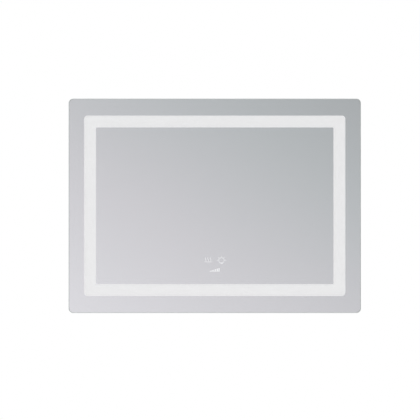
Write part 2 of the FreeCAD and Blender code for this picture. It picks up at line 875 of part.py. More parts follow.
def module_base(x, width):
    """A moulded base with a locating rim, board posts and a screw boss at each end."""
    centre = (x, module_z)
    floor = panel_front + module_wall
    base = cut_plate(width / 2, module_height / 2, module_cut, (panel_front, floor), centre)
    out = module_wall + board_play
    rim_span = (floor, floor + module_rim)
    rim_cut = module_cut - module_wall / 2
    rim = cut_plate(width / 2 - out, module_height / 2 - out, rim_cut, rim_span, centre)
    rim = rim.cut(cut_plate(width / 2 - 2 * out, module_height / 2 - 2 * out, rim_cut / 2, rim_span, centre))
    parts = [rim]
    for hand in HANDS:
        ear_x = x + hand * (width + module_ear) / 2
        ear_span = (x + hand * (width / 2 - module_cut), ear_x + hand * module_ear / 2)
        across = (module_z - module_ear / 2, module_z + module_ear / 2)
        parts.append(block(ear_span, (panel_front, floor), across))
        parts.append(rod(ear_x, module_z, module_ear / 2.6, (panel_front, panel_front + module_boss)))
        for hand_z in HANDS:
            post = (x + hand * (width / 2 - 4 * out), module_z + hand_z * (module_height / 2 - 4 * out))
            parts.append(cut_plate(module_wall, module_wall, module_wall / 2, (floor, board_depth()), post))
    base = base.fuse(parts).removeSplitter()
    return drill(base, module_screw_places(), hole_radius, (panel_front - 1, panel_front + module_boss + 1))


def module_cover(x, width):
    """A moulded cover with cooling slots in its front."""
    front = panel_front + module_depth
    rim_depth = panel_front + module_wall
    half_x, half_z = width / 2, module_height / 2
    cover = tray(half_x, half_z, module_cut, front, rim_depth, module_wall, (x, module_z))
    count = int(half_x / vent_pitch)
    through = (front - 2 * module_wall, front + module_wall)
    slots = []
    for index in range(count):
        slot_x = x + (index - (count - 1) / 2) * vent_pitch
        slot_span = (slot_x - vent_width / 2, slot_x + vent_width / 2)
        slots.append(block(slot_span, through, (module_z - half_z / 2, module_z + half_z / 2)))
    return cover.cut(slots)


def module_board(x, width):
    inset = 2 * (module_wall + board_play) + board_play
    span = (board_depth(), board_depth() + board_thickness)
    return cut_plate(width / 2 - inset, module_height / 2 - inset, module_cut, span, (x, module_z))


def board_room():
    """Height between a module's board and the inside of its cover."""
    return module_depth - 2 * module_wall - board_standoff - board_thickness - board_play


def set_on_board(module_x, width, parts):
    """Components on a module's board. A block has (place, half length, half height, rise) and a can has
    (place, height place, radius, rise), in shares of the half length, half height and room over the board."""
    seat = board_depth() + board_thickness
    room = board_room()
    half_x, half_z = width / 2 - 4 * module_wall, module_height / 2 - 4 * module_wall
    made = []
    for kind, place, second, third, rise in parts:
        x = module_x + place * half_x
        span = (seat, seat + rise * room)
        if kind == "block":
            x_span = (x - second * half_x, x + second * half_x)
            made.append(block(x_span, span, (module_z - third * half_z, module_z + third * half_z)))
        else:
            made.append(rod(x, module_z + second * half_z, third * room, span))
    return Part.makeCompound(made)


def driver_components():
    """Mains filter coil, bulk capacitors, transformer and output capacitors, in the order of the current."""
    return set_on_board(driver_x, driver_width, [
        ("block", 0.84, 0.12, 0.50, 0.8),
        ("can", 0.45, -0.5, 0.45, 1.0),
        ("can", 0.45, 0.5, 0.45, 1.0),
        ("block", -0.10, 0.25, 0.85, 1.0),
        ("can", -0.65, -0.5, 0.35, 0.9),
        ("can", -0.65, 0.5, 0.35, 0.9),
    ])


def relay_components():
    """The terminal for the demister pad, the relay itself and its supply capacitor."""
    return set_on_board(relay_x, relay_width, [
        ("block", -0.78, 0.17, 0.75, 0.7),
        ("block", 0.10, 0.32, 0.75, 1.0),
        ("can", 0.75, 0.0, 0.35, 0.9),
    ])


# ---- Touch module ----------------------------------------------------------------------------------------

def light_wells():
    """The (half width, half height, middle) of the light well behind each mark."""
    margin = light_well_margin
    return [
        (steam_width / 2 + margin, steam_height / 2 + margin, (-icon_spread, icon_z)),
        (lamp_width / 2 + margin, lamp_height / 2 + margin, (icon_spread, icon_z)),
        (level_width / 2 + margin, level_height / 2 + margin, (0, level_z - margin)),
    ]


def touch_window():
    return cut_plate(touch_width / 2, touch_height / 2, touch_cut, (touch_front, silver_back), (0, touch_z))


def touch_case():
    """A shallow moulded case, open towards the wall, with a light well behind each mark."""
    rim_depth = touch_back + touch_wall
    centre = (0, touch_z)
    case = tray(touch_width / 2, touch_height / 2, touch_cut, touch_front, rim_depth, touch_wall, centre)
    through = (touch_front - 2 * touch_wall, touch_front + 1)
    wells = [cut_plate(half_x, half_z, touch_wall, through, place) for half_x, half_z, place in light_wells()]
    return case.cut(wells)


def touch_board_depth():
    return touch_back + 2 * touch_wall


def touch_lid():
    """The case's rear lid, with four posts that carry the board."""
    centre = (0, touch_z)
    floor = touch_back + touch_wall
    lid = cut_plate(touch_width / 2, touch_height / 2, touch_cut, (touch_back, floor), centre)
    post_x, post_z = touch_width / 2 - 4 * touch_wall, touch_height / 2 - 4 * touch_wall
    span = (floor, touch_board_depth())
    posts = []
    for hand_x, hand_z in CORNERS.values():
        place = (hand_x * post_x, touch_z + hand_z * post_z)
        posts.append(cut_plate(touch_wall, touch_wall, touch_wall / 2, span, place))
    return lid.fuse(posts).removeSplitter()


def touch_board():
    """The board, with a lamp under each mark and a sensing ring round each of the two icons."""
    inset = touch_wall + board_play
    half_x, half_z = touch_width / 2 - inset, touch_height / 2 - inset
    top = touch_board_depth() + board_thickness
    board = cut_plate(half_x, half_z, touch_cut, (touch_board_depth(), top), (0, touch_z))
    lamps = []
    for _, _, (x, z) in light_wells():
        x_span, z_span = (x - led_length / 2, x + led_length / 2), (z - led_width / 2, z + led_width / 2)
        lamps.append(block(x_span, (top, top + led_height), z_span))
    rings = []
    for hand in HANDS:
        span = (top, top + led_height / 2)
        place = (hand * icon_spread, icon_z)
        rings.append(rod(*place, lamp_width / 3, span).cut(rod(*place, lamp_width / 4, span)))
    return board.fuse(lamps + rings)


# ---- Demister --------------------------------------------------------------------------------------------

def defogger_pad():
    """Heating film on the back of the silvering, with the moulded boss where its lead enters."""
    film = cut_plate(pad_width / 2, pad_height / 2, pad_cut, (pad_back, silver_back), (0, pad_centre_z))
    boss_span = (pad_back - pad_boss_depth, pad_back)
    boss = block((pad_boss_x - pad_boss_width / 2, pad_boss_x + pad_boss_width / 2), boss_span,
                 (pad_boss_z - pad_boss_height / 2, pad_boss_z + pad_boss_height / 2))
    return film.fuse(boss)


def defogger_track():
    """The heating track: one path that climbs the pad in rows and comes back down beside them."""
    half_x = pad_width / 2 - track_margin
    low = pad_centre_z - pad_height / 2 + track_rise
    pitch = (pad_centre_z + pad_height / 2 - track_margin - low) / (track_runs - 1)
    tail_x = pad_boss_x - pad_boss_width / 4
    return_x = pad_width / 2 - track_margin / 2
    path = [(tail_x, pad_boss_z + pad_boss_height / 2), (tail_x, low)]
    for index in range(track_runs):
        hand = -1 if index % 2 == 0 else 1
        path += [(hand * half_x, low + index * pitch), (hand * half_x, low + (index + 1) * pitch)]
    path[-1] = (return_x, path[-2][1])
    path += [(return_x, pad_boss_z), (pad_boss_x + pad_boss_width / 2, pad_boss_z)]
    half = track_width / 2
    depth_span = (pad_back - track_thickness, pad_back)
    runs = []
    for (from_x, from_z), (to_x, to_z) in zip(path, path[1:]):
        x_span = (min(from_x, to_x) - half, max(from_x, to_x) + half)
        z_span = (min(from_z, to_z) - half, max(from_z, to_z) + half)
        runs.append(block(x_span, depth_span, z_span))
    boss_half_x, boss_half_z = pad_boss_width / 2, pad_boss_height / 2
    boss_x_span = (pad_boss_x - boss_half_x, pad_boss_x + boss_half_x)
    boss_z_span = (pad_boss_z - boss_half_z, pad_boss_z + boss_half_z)
    boss = block(boss_x_span, depth_span, boss_z_span)
    return runs[0].fuse(runs[1:]).removeSplitter().cut(boss)


# ---- Leads and clips -------------------------------------------------------------------------------------

def module_ends():
    """The end of each module that faces the middle of the mirror, by the side it lies on."""
    return {-1: driver_x + driver_width / 2, 1: relay_x - relay_width / 2}


def supply_leads():
    """From the terminal block, through the bushings, to the driver and the relay module."""
    pieces = []
    for hand, end_x in module_ends().items():
        x = hand * supply_x
        route = [point(x, lead_depth, wiring_z - terminal_height / 2), point(x, lead_depth, feed_z),
                 point(end_x, lead_depth, feed_z)]
        pieces.append(lead(route, lead_radius, lead_bend))
    return Part.makeCompound(pieces)


def touch_leads():
    """From each module to the touch module's upper side, climbing from the panel towards the glass."""
    pieces = []
    top = touch_z + touch_height / 2
    arrival = (touch_back + touch_front) / 2
    for hand, end_x in module_ends().items():
        x = hand * touch_lead_x
        start_z = module_z - lead_spread
        rise_z = (start_z + 2 * top) / 3
        route = [point(end_x, lead_depth, start_z), point(x, lead_depth, start_z),
                 point(x, arrival, rise_z), point(x, arrival, top)]
        pieces.append(lead(route, lead_radius, lead_bend))
    return Part.makeCompound(pieces)


def pad_lead():
    """From the relay module to the boss on the demister pad."""
    start_x = module_ends()[1]
    end_x = pad_boss_x + pad_boss_width / 2
    start_depth = panel_front + module_depth * 0.75
    end_depth = pad_back - pad_boss_depth / 2
    run = start_x - end_x
    route = [point(start_x, start_depth, module_z), point(start_x - run * 0.4, start_depth, module_z),
             point(end_x + run * 0.3, end_depth, pad_boss_z), point(end_x, end_depth, pad_boss_z)]
    return lead(route, lead_radius, lead_bend)


def lead_clip(x, z, depth, along):
    """A saddle stuck to the panel, closed over a lead that runs along X or along Z."""
    half_width = lead_radius + clip_wall
    half_foot = half_width + clip_foot
    x_span = (x - clip_length / 2, x + clip_length / 2)
    body = block(x_span, (panel_front, depth + half_width), (z - half_width, z + half_width))
    foot = block(x_span, (panel_front, panel_front + clip_base), (z - half_foot, z + half_foot))
    tunnel = bar(point(x - clip_length, depth, z), ACROSS * (2 * clip_length), lead_hole_radius)
    body = body.fuse(foot).removeSplitter().cut(tunnel)
    turn = 90 if along == "z" else 0
    return body.rotated(point(x, 0, z), FreeCAD.Vector(0, 1, 0), turn)


def lead_clips():
    rail_edge = ledge_width - chassis_x
    feed_middle = (driver_x - driver_width / 2 + rail_edge) / 2
    fall_middle = (feed_z + wiring_z - wiring_box_height / 2) / 2
    clips = [lead_clip(feed_middle, feed_z, strip_middle, "x")]
    for hand, end_x in module_ends().items():
        middle = (hand * touch_lead_x + end_x) / 2
        clips.append(lead_clip(middle, feed_z, lead_depth, "x"))
        clips.append(lead_clip(middle, module_z - lead_spread, lead_depth, "x"))
        clips.append(lead_clip(hand * supply_x, fall_middle, lead_depth, "z"))
    return Part.makeCompound(clips)


# ---- Cleats ----------------------------------------------------------------------------------------------

def cleat_run(profile):
    """A cleat profile of (depth, z, radius) corners, run along X."""
    wire = rounded_wire([(point(-cleat_length / 2, depth, z), radius) for depth, z, radius in profile])
    return Part.Face(wire).extrude(ACROSS * cleat_length)


def wall_cleat():
    """The rail on the wall: a slotted flange, a web that stands out, and an upturned leg to hang on."""
    low = hang_rise - wall_flange / 2
    profile = [
        (0, low, 0), (cleat_thickness, low, 0), (cleat_thickness, hook_base, 0),
        (wall_hook_depth, hook_base, cleat_bend), (wall_hook_depth, hook_top, cleat_bend),
        (wall_hook_depth - cleat_thickness, hook_top, cleat_bend),
        (wall_hook_depth - cleat_thickness, hook_base + cleat_thickness, 0),
        (0, hook_base + cleat_thickness, 0),
    ]
    through = (-cleat_thickness, 2 * cleat_thickness)
    half_slot = wall_slot_length / 2
    slots = []
    for spacing in wall_screw_spacings:
        for hand in HANDS:
            middle = (hand * spacing / 2, hang_rise)
            slots.append(plate(half_slot, wall_slot_radius, wall_slot_radius, through, middle))
    return cleat_run(profile).cut(slots)


def panel_cleat():
    """The hanger on the panel: a riveted flange, a web that rests on the wall cleat, and a leg behind it."""
    seat = panel_back
    leg_front = wall_hook_depth - cleat_thickness - cleat_play
    leg_back = leg_front - cleat_thickness
    leg_end = hook_base + cleat_thickness + 2 * cleat_play
    profile = [
        (seat - cleat_thickness, hook_top + cleat_flange, 0), (seat, hook_top + cleat_flange, 0),
        (seat, hook_top, cleat_bend), (leg_front, hook_top, 0), (leg_front, leg_end, 0),
        (leg_back, leg_end, 0), (leg_back, hook_top + cleat_thickness, cleat_bend),
        (seat - cleat_thickness, hook_top + cleat_thickness, 0),
    ]
    return drill(cleat_run(profile), cleat_rivet_places(), rivet_hole_radius, (0, seat + 1))


# ---- Writing the pieces ----------------------------------------------------------------------------------

def pieces():
    """Every piece by its name."""
    made = {
        "glass_sheet": glass_sheet(),
        "silver_border": silver_border(),
        "silver_centre": silver_centre(),
        "bonding_tape": bonding_tape(),
        "wall_bumpers": wall_bumpers(),
        "led_leads": led_leads(),
        "back_panel": back_panel(),
        "panel_ribs": panel_ribs(),
        "wiring_box": wiring_box(),
        "lead_bushings": lead_bushings(),
        "wiring_cover": wiring_cover(),
        "cable_grommet": cable_grommet(),
        "terminal_block": terminal_block(),
        "terminal_screws": terminal_screws(),
        "driver_components": driver_components(),
        "relay_components": relay_components(),
        "touch_window": touch_window(),
        "touch_case": touch_case(),
        "touch_lid": touch_lid(),
        "touch_board": touch_board(),
        "defogger_pad": defogger_pad(),
        "defogger_track": defogger_track(),
        "supply_leads": supply_leads(),
        "touch_leads": touch_leads(),
        "pad_lead": pad_lead(),
        "lead_clips": lead_clips(),
        "wall_cleat": wall_cleat(),
        "panel_cleat": panel_cleat(),
    }
    for corner in CORNERS:
        made["corner_bracket_" + corner] = corner_bracket(corner)
    for name, frame in (("rail", rails()), ("diffuser", diffusers()), ("reflector", reflectors())):
        for side, piece in frame.items():
            made[f"{name}_{side}"] = piece
    for side in SIDES:
        made["led_strip_" + side] = led_strip(side)
    for name, x, width in (("driver", driver_x, driver_width), ("relay", relay_x, relay_width)):
        made[name + "_base"] = module_base(x, width)
        made[name + "_cover"] = module_cover(x, width)
        made[name + "_board"] = module_board(x, width)
    screw_seats = {
        "panel_screws": (panel_screw_places(), panel_back),
        "module_screws": (module_screw_places(), panel_back),
        "cover_screws": (cover_screw_places(), panel_back - cover_thickness),
    }
    for name, (places, seat) in screw_seats.items():
        made[name] = Part.makeCompound([screw(x, z, seat) for x, z in places])
    rivets = [rivet(x, z, panel_back, panel_front + wiring_box_wall) for x, z in box_rivet_places()]
    rivets += [rivet(x, z, panel_back - cleat_thickness, panel_front) for x, z in cleat_rivet_places()]
    made["panel_rivets"] = Part.makeCompound(rivets)
    return made


os.makedirs("parts", exist_ok=True)
for piece_name, shape in pieces().items():
    shape.translated(FreeCAD.Vector(0, 0, -hang_rise)).exportStep(f"parts/{piece_name}.step")
    state = "valid" if shape.isValid() else "NOT VALID"
    print(f"{piece_name}: {len(shape.Solids)} solids, {state}, {shape.Volume / 1000:.2f} cm3")
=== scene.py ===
import bmesh
import bpy
import math
from mathutils import Matrix, Vector


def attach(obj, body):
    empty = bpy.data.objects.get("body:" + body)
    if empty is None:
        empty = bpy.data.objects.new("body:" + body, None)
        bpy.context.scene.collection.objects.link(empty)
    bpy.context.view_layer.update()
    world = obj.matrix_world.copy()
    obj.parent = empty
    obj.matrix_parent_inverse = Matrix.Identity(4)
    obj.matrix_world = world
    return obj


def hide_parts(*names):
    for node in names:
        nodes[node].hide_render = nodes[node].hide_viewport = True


# The looks of a lighted bathroom mirror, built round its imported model. Pieces are drawn in millimetres in the
# model's own frame: X to the right, Z up, the wall is the plane Y = 0 and the glass faces -Y.

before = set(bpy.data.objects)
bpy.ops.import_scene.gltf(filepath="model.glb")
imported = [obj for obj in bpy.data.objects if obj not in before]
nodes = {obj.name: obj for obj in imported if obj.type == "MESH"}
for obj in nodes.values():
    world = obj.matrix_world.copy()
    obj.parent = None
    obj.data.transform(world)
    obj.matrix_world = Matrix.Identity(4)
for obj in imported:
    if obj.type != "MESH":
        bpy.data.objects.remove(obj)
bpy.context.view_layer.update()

MM = 0.001
ALONG_X, ALONG_Y, ALONG_Z = 0, 1, 2
CORNERS = ((-1, -1), (1, -1), (1, 1), (-1, 1))
SIDES = ("top", "bottom", "left", "right")

# Faces that meet at less than this angle are shaded as one. The glass keeps its narrow arrises crisp.
RIM = math.radians(28)
GLASS_RIM = math.radians(7)

# ---- Sizes shared with the model, in millimetres ---------------------------------------------------------

centre_z = -175.0
glass_half_x, glass_half_z = 381.0, 279.5
glass_front, glass_back = -43.0, -38.0
glass_corner = 12.0
glass_arris = 0.6
silver_front = -38.0
band_half_x, band_half_z = 341.0, 235.5
band_width = 31.0
band_outer_corner, band_inner_corner = 9.0, 2.0

# The lamp mark's base bar is below the one height, and the level bars are below the other.
lamp_base_z = -322.0
window_split_z = -329.25

chassis_half_x, chassis_half_z = 359.0, 257.5
panel_rear = -12.0
screw_line, corner_screw = 15.0, 42.0
level_spaces, upright_spaces = 3, 2
module_screw_x = (-265.5, -114.5, 162.5, 265.5)
module_screw_z = -235.0
cleat_sheet = 2.0
cleat_rivet_x = (-205.0, -102.5, 0.0, 102.5, 205.0)
cleat_rivet_z = 35.0

rib_low, rib_high = -367.0, -35.0
rib_half, rib_height = 7.0, 3.0
rib_places = (-287.0, -92.0, 92.0, 287.0)
cover_z = -130.0
cover_sheet = 1.0
cover_screw_x, cover_screw_z = 43.5, 37.5
box_rivet_x, box_rivet_z = 54.5, 29.33
bumper_x, bumper_z = 299.0, 253.5
bumper_half_x, bumper_half_z, bumper_height = 13.0, 3.2, 3.0

strip_middle = -25.0
led_pitch = 50.0

# ---- Camera, lamps and floor -----------------------------------------------------------------------------

# The camera looks square on at the glass. These are in millimetres: how far off it is, how much width it
# takes in there, how far it sits from the glass's middle, and its sensor's width.
view_distance = 2200.0
photo_width = 1094.9
photo_left_shift = -12.43
photo_drop = -10.95
sensor = 36.0

# In metres and watts: how far the camera sees, the lamps, and the floor with its glow for the camera.
camera_reach = 50.0
lamp_aim = (0, 0, -0.2)
lamp_size, lamp_power = 2.2, 75
floor_z = -2.5
floor_half, floor_far = 5.8, 3.0
floor_glow = 0.45


def aim_camera():
    camera = bpy.data.objects.new("camera", bpy.data.cameras.new("camera"))
    camera.data.sensor_width = sensor
    camera.data.lens = sensor * view_distance / photo_width
    camera.data.clip_end = camera_reach
    place = Vector((photo_left_shift, glass_front - view_distance, centre_z + photo_drop))
    camera.location = place * MM
    camera.rotation_euler = (math.radians(90), 0, 0)
    bpy.context.scene.collection.objects.link(camera)
    bpy.context.scene.camera = camera


def hang_lamp(name, place):
    """A soft square lamp that lights the mirror but isn't seen in it or by the camera."""
    lamp = bpy.data.objects.new(name, bpy.data.lights.new(name, "AREA"))
    lamp.data.shape = "SQUARE"
    lamp.data.size = lamp_size
    lamp.data.energy = lamp_power
    lamp.location = place
    lamp.rotation_euler = (Vector(lamp_aim) - Vector(place)).to_track_quat("-Z", "Y").to_euler()
    lamp.visible_glossy = False
    lamp.visible_transmission = False
    lamp.visible_camera = False
    bpy.context.scene.collection.objects.link(lamp)


# ---- Shader writing --------------------------------------------------------------------------------------

class Level:
    """A shader value: sums, products and comparisons of it add the Math nodes that work them out."""

    def __init__(self, shader, socket):
        self.shader = shader
        self.socket = socket

    def __add__(self, other):
        return self.shader.math("ADD", self, other)

    def __sub__(self, other):
        return self.shader.math("SUBTRACT", self, other)

    def __rsub__(self, other):
        return self.shader.math("SUBTRACT", other, self)

    def __mul__(self, other):
        return self.shader.math("MULTIPLY", self, other)

    def __gt__(self, other):
        return self.shader.math("GREATER_THAN", self, other)

    def __lt__(self, other):
        return self.shader.math("LESS_THAN", self, other)

    def __or__(self, other):
        return self.shader.math("MAXIMUM", self, other)

    def __and__(self, other):
        return self.shader.math("MINIMUM", self, other)

    def __abs__(self):
        return self.shader.math("ABSOLUTE", self, 0)

    __radd__ = __add__


class Shader:
    """The nodes of one material, or of the world."""

    def __init__(self, tree):
        self.tree = tree
        tree.nodes.clear()

    def node(self, kind, settings=None, inputs=None, output=0):
        made = self.tree.nodes.new(kind)
        for name, value in (settings or {}).items():
            if name == "stops":
                self.set_stops(made.color_ramp, value)
            else:
                setattr(made, name, value)
        for name, value in (inputs or {}).items():
            if isinstance(value, Level):
                self.tree.links.new(value.socket, made.inputs[name])
            else:
                made.inputs[name].default_value = value
        return Level(self, made.outputs[output] if made.outputs else None)

    @staticmethod
    def set_stops(ramp, stops):
        while len(ramp.elements) < len(stops):
            ramp.elements.new(1)
        for element, (position, colour) in zip(ramp.elements, stops):
            element.position = position
            element.color = (*colour, 1)

    def math(self, operation, first, second):
        return self.node("ShaderNodeMath", {"operation": operation}, {0: first, 1: second})

    def place(self):
        """Object coordinates, in metres."""
        return self.node("ShaderNodeTexCoord", output="Object")

    def split(self, vector):
        return [self.node("ShaderNodeSeparateXYZ", inputs={0: vector}, output=axis) for axis in range(3)]

    def stretch(self, vector, factors):
        return self.node("ShaderNodeVectorMath", {"operation": "MULTIPLY"}, {0: vector, 1: factors})

    def scaled(self, vector, factor):
        return self.node("ShaderNodeVectorMath", {"operation": "SCALE"}, {0: vector, "Scale": factor})

    def noise(self, vector, scale, detail=3, roughness=0.5):
        inputs = {"Vector": vector, "Scale": scale, "Detail": detail, "Roughness": roughness}
        return self.node("ShaderNodeTexNoise", inputs=inputs)

    def cells(self, vector, scale, feature="F1", output="Distance"):
        inputs = {"Vector": vector, "Scale": scale}
        return self.node("ShaderNodeTexVoronoi", {"feature": feature}, inputs, output)

    def smooth(self, value, low, high):
        """0 below low, 1 above high, and a smooth step between them."""
        inputs = {"Value": value, "From Min": low, "From Max": high}
        return self.node("ShaderNodeMapRange", {"interpolation_type": "SMOOTHSTEP"}, inputs)

    def ramp(self, value, *stops):
        return self.node("ShaderNodeValToRGB", {"stops": stops}, {0: value})

    def blend(self, factor, first, second):
        """The first colour where the factor is 0 and the second where it is 1."""
        colours = {0: factor, 6: self.colour(first), 7: self.colour(second)}
        return self.node("ShaderNodeMix", {"data_type": "RGBA"}, colours, 2)

    @staticmethod
    def colour(value):
        return value if isinstance(value, Level) else (*value, 1)

    def bump(self, height, depth):
        """A normal from a height of 0 to 1 that stands for so many metres."""
        return self.node("ShaderNodeBump", inputs={"Height": height, "Distance": depth})

    def finish(self, **values):
        """The surface: names are the shader's own sockets, with _ for a space."""
        inputs = {}
        for name, value in values.items():
            if name in ("Base_Color", "Emission_Color"):
                value = self.colour(value)
            inputs[name.replace("_", " ")] = value
        surface = self.node("ShaderNodeBsdfPrincipled", inputs=inputs)
        self.node("ShaderNodeOutputMaterial", inputs={"Surface": surface})


def new_material(name):
    material = bpy.data.materials.new(name)
    material.use_nodes = True
    return material, Shader(material.node_tree)


# ---- The room, as the mirror and the metal see it --------------------------------------------------------

# Each part of the room has a level of grey and slopes, by which it changes towards +X and +Z. The near part
# is what the mirror shows square on, the wide part is what it shows from the side, and the part behind is on
# the wall's side. "From" and "to" are where one part gives way to the next, as the Y of a direction.
room_level = 0.588
room_slope_x = -0.41
room_slope_z = -0.67
wide_level = 0.60
wide_slope_x, wide_slope_z = -0.05, -0.12
wide_from, wide_to = -0.975, -0.90
behind_level = 0.74
behind_slope_x, behind_slope_z = 0.10, 0.12
behind_from, behind_to = -0.35, 0.35

# The near part's tint goes with its level: one where it is in shade, and another where it is light.
shade_tint, light_tint = (0.985, 1.0, 1.045), (1.040, 1.0, 1.062)
shade_end, light_start = 0.47, 0.64
wide_tint = (1.025, 1.0, 1.030)
behind_tint = (1.0, 1.0, 1.0)
daylight = (0.66, 0.66, 0.66, 1)
white = (1, 1, 1, 1)


def build_room():
    """The camera sees white, mirrors, metal and glass see the room, and all else gets plain daylight."""
    world = bpy.data.worlds.new("studio")
    world.use_nodes = True
    bpy.context.scene.world = world
    sky = Shader(world.node_tree)
    x, y, z = sky.split(sky.node("ShaderNodeTexCoord", output="Generated"))
    near = room_level + x * room_slope_x + z * room_slope_z
    wide = wide_level + x * wide_slope_x + z * wide_slope_z
    off_axis = sky.smooth(y, wide_from, wide_to)
    front = near * (1 - off_axis) + wide * off_axis
    behind = behind_level + x * behind_slope_x + z * behind_slope_z
    side = sky.smooth(y, behind_from, behind_to)
    level = front * (1 - side) + behind * side
    tint = sky.blend(sky.smooth(level, shade_end, light_start), shade_tint, light_tint)
    tint = sky.blend(off_axis, tint, wide_tint)
    tint = sky.blend(side, tint, behind_tint)
    mirrored = sky.node("ShaderNodeBackground", inputs={"Color": sky.scaled(tint, level)})
    plain = sky.node("ShaderNodeBackground", inputs={"Color": daylight})
    blank = sky.node("ShaderNodeBackground", inputs={"Color": white})
    by_camera, by_gloss, by_glass = [
        sky.node("ShaderNodeLightPath", output=name)
        for name in ("Is Camera Ray", "Is Glossy Ray", "Is Transmission Ray")
    ]
    dressed = sky.node("ShaderNodeMixShader", inputs={0: by_gloss | by_glass, 1: plain, 2: mirrored})
    whole = sky.node("ShaderNodeMixShader", inputs={0: by_camera, 1: dressed, 2: blank})
    sky.node("ShaderNodeOutputWorld", inputs={"Surface": whole})


def lay_floor():
    """A pale floor, lifted to white for the camera alone and not seen in the mirror."""
    bm = bmesh.new()
    bmesh.ops.create_grid(bm, x_segments=1, y_segments=1, size=1)
    bmesh.ops.scale(bm, vec=(floor_half, floor_half, 1), verts=bm.verts)
    bmesh.ops.translate(bm, vec=(0, floor_far - floor_half, floor_z), verts=bm.verts)
    floor = bpy.data.objects.new("floor", bpy.data.meshes.new("floor"))
    bm.to_mesh(floor.data)
    bm.free()
    material, shader = new_material("floor")
    grain = shader.noise(shader.place(), 6)
    pale = shader.blend(grain, (0.80, 0.80, 0.79), (0.84, 0.84, 0.83))
    seen = shader.node("ShaderNodeLightPath", output="Is Camera Ray")
    lit = shader.node("ShaderNodeBsdfDiffuse", inputs={"Color": pale})
    lifted = shader.node("ShaderNodeEmission", inputs={"Color": white, "Strength": floor_glow})
    both = shader.node("ShaderNodeAddShader", inputs={0: lit, 1: lifted})
    shown = shader.node("ShaderNodeMixShader", inputs={0: seen, 1: lit, 2: both})
    shader.node("ShaderNodeOutputMaterial", inputs={"Surface": shown})
    floor.data.materials.append(material)
    floor.visible_glossy = False
    floor.visible_transmission = False
    bpy.context.scene.collection.objects.link(floor)


# ---- Finishes --------------------------------------------------------------------------------------------

# Sizes that the finishes draw, in millimetres: the silver's depth before its paint, half a mitre's dark line,
# the leads' tracer line, and the length of board that one colour of part takes up.
silver_skin = 0.05
mitre_line = 0.22
tracer_y, tracer_half = -19.5, 0.6
part_pitch = 17.0

# A strip's print, measured from a lamp's middle: the half sizes of the lamp and its phosphor along and across
# the strip, where the pads start and end, and where the cut line starts.
lamp_half = (1.78, 1.42)
phosphor_half = (1.25, 0.95)
pads_along = (21.5, 24.2)
pads_across = (1.6, 3.8)
cut_along = 24.8


def clear_glass():
    """Float glass, clear on its faces."""
    material, shader = new_material("clear_glass")
    cloud = shader.noise(shader.place(), 2.2, 2)
    shader.finish(
        Base_Color=shader.blend(cloud, (0.985, 1.0, 0.992), (0.992, 1.0, 0.996)),
        Roughness=shader.smooth(cloud, 0.75, 0.9) * 0.006,
        IOR=1.52,
        Transmission_Weight=1.0,
    )
    return material


def polished_edge():
    """The glass's ground and polished rim."""
    material, shader = new_material("polished_edge")
    ground = shader.noise(shader.stretch(shader.place(), (1.0, 14.0, 1.0)), 260, 4)
    shader.finish(
        Base_Color=shader.blend(ground, (0.54, 0.62, 0.59), (0.66, 0.74, 0.71)),
        Roughness=0.16 + ground * 0.12,
        Specular_IOR_Level=0.7,
        Normal=shader.bump(ground, 0.00002),
    )
    return material


def silvering():
    """Silver behind the glass, with grey protective paint on its back and cut edges."""
    material, shader = new_material("silvering")
    place = shader.place()
    painted = shader.split(place)[1] > (silver_front + silver_skin) * MM
    orange_peel = shader.cells(place, 520, "SMOOTH_F1")
    roller = shader.noise(shader.stretch(place, (1, 1, 0.08)), 90)
    paint = shader.blend(roller, (0.34, 0.37, 0.38), (0.40, 0.43, 0.44))
    shader.finish(
        Base_Color=shader.blend(painted, (0.955, 0.965, 0.962), paint),
        Metallic=1 - painted,
        Roughness=painted * (0.42 + roller * 0.18),
        Normal=shader.bump(orange_peel * painted, 0.00004),
    )
    return material


def lit_frost():
    """Sand-blasted glass lit evenly from behind."""
    material, shader = new_material("lit_frost")
    place = shader.place()
    grain = shader.noise(place, 1900, 2)
    glow = shader.noise(place, 14, 1)
    shader.finish(
        Base_Color=shader.blend(grain, (0.50, 0.50, 0.51), (0.58, 0.58, 0.59)),
        Roughness=0.55 + grain * 0.25,
        Emission_Color=shader.blend(glow, (0.965, 0.957, 0.962), (0.985, 0.977, 0.977)),
        Emission_Strength=0.651,
        Normal=shader.bump(grain, 0.00002),
    )
    return material


def lit_window():
    """Opal sheet behind the marks: the lamp mark and the bars are brighter than the idle demister mark."""
    material, shader = new_material("lit_window")
    place = shader.place()
    x, _, z = shader.split(place)
    bars = z < window_split_z * MM
    lamp = (x > 0) & (1 - bars)
    base_bar = lamp & (z < lamp_base_z * MM)
    level = 0.71 + lamp * 0.02 + base_bar * 0.05 + bars * 0.06
    glow = shader.noise(place, 120, 1)
    level = level * (0.97 + glow * 0.06)
    shader.finish(
        Base_Color=shader.blend(glow, (0.40, 0.40, 0.41), (0.44, 0.44, 0.45)),
        Roughness=0.5,
        Emission_Color=shader.scaled((0.985, 0.99, 1.0), level),
        Emission_Strength=1.0,
    )
    return material


def opal_acrylic():
    """The diffusers, lit softly through their sheet."""
    material, shader = new_material("opal_acrylic")
    place = shader.place()
    cloud = shader.noise(place, 35, 2)
    matt = shader.noise(place, 1400, 2)
    shader.finish(
        Base_Color=shader.blend(cloud, (0.88, 0.88, 0.89), (0.92, 0.92, 0.93)),
        Roughness=0.42 + matt * 0.2,
        Emission_Color=shader.blend(cloud, (0.94, 0.95, 1.0), (0.98, 0.99, 1.0)),
        Emission_Strength=0.35,
        Normal=shader.bump(matt, 0.00002),
    )
    return material


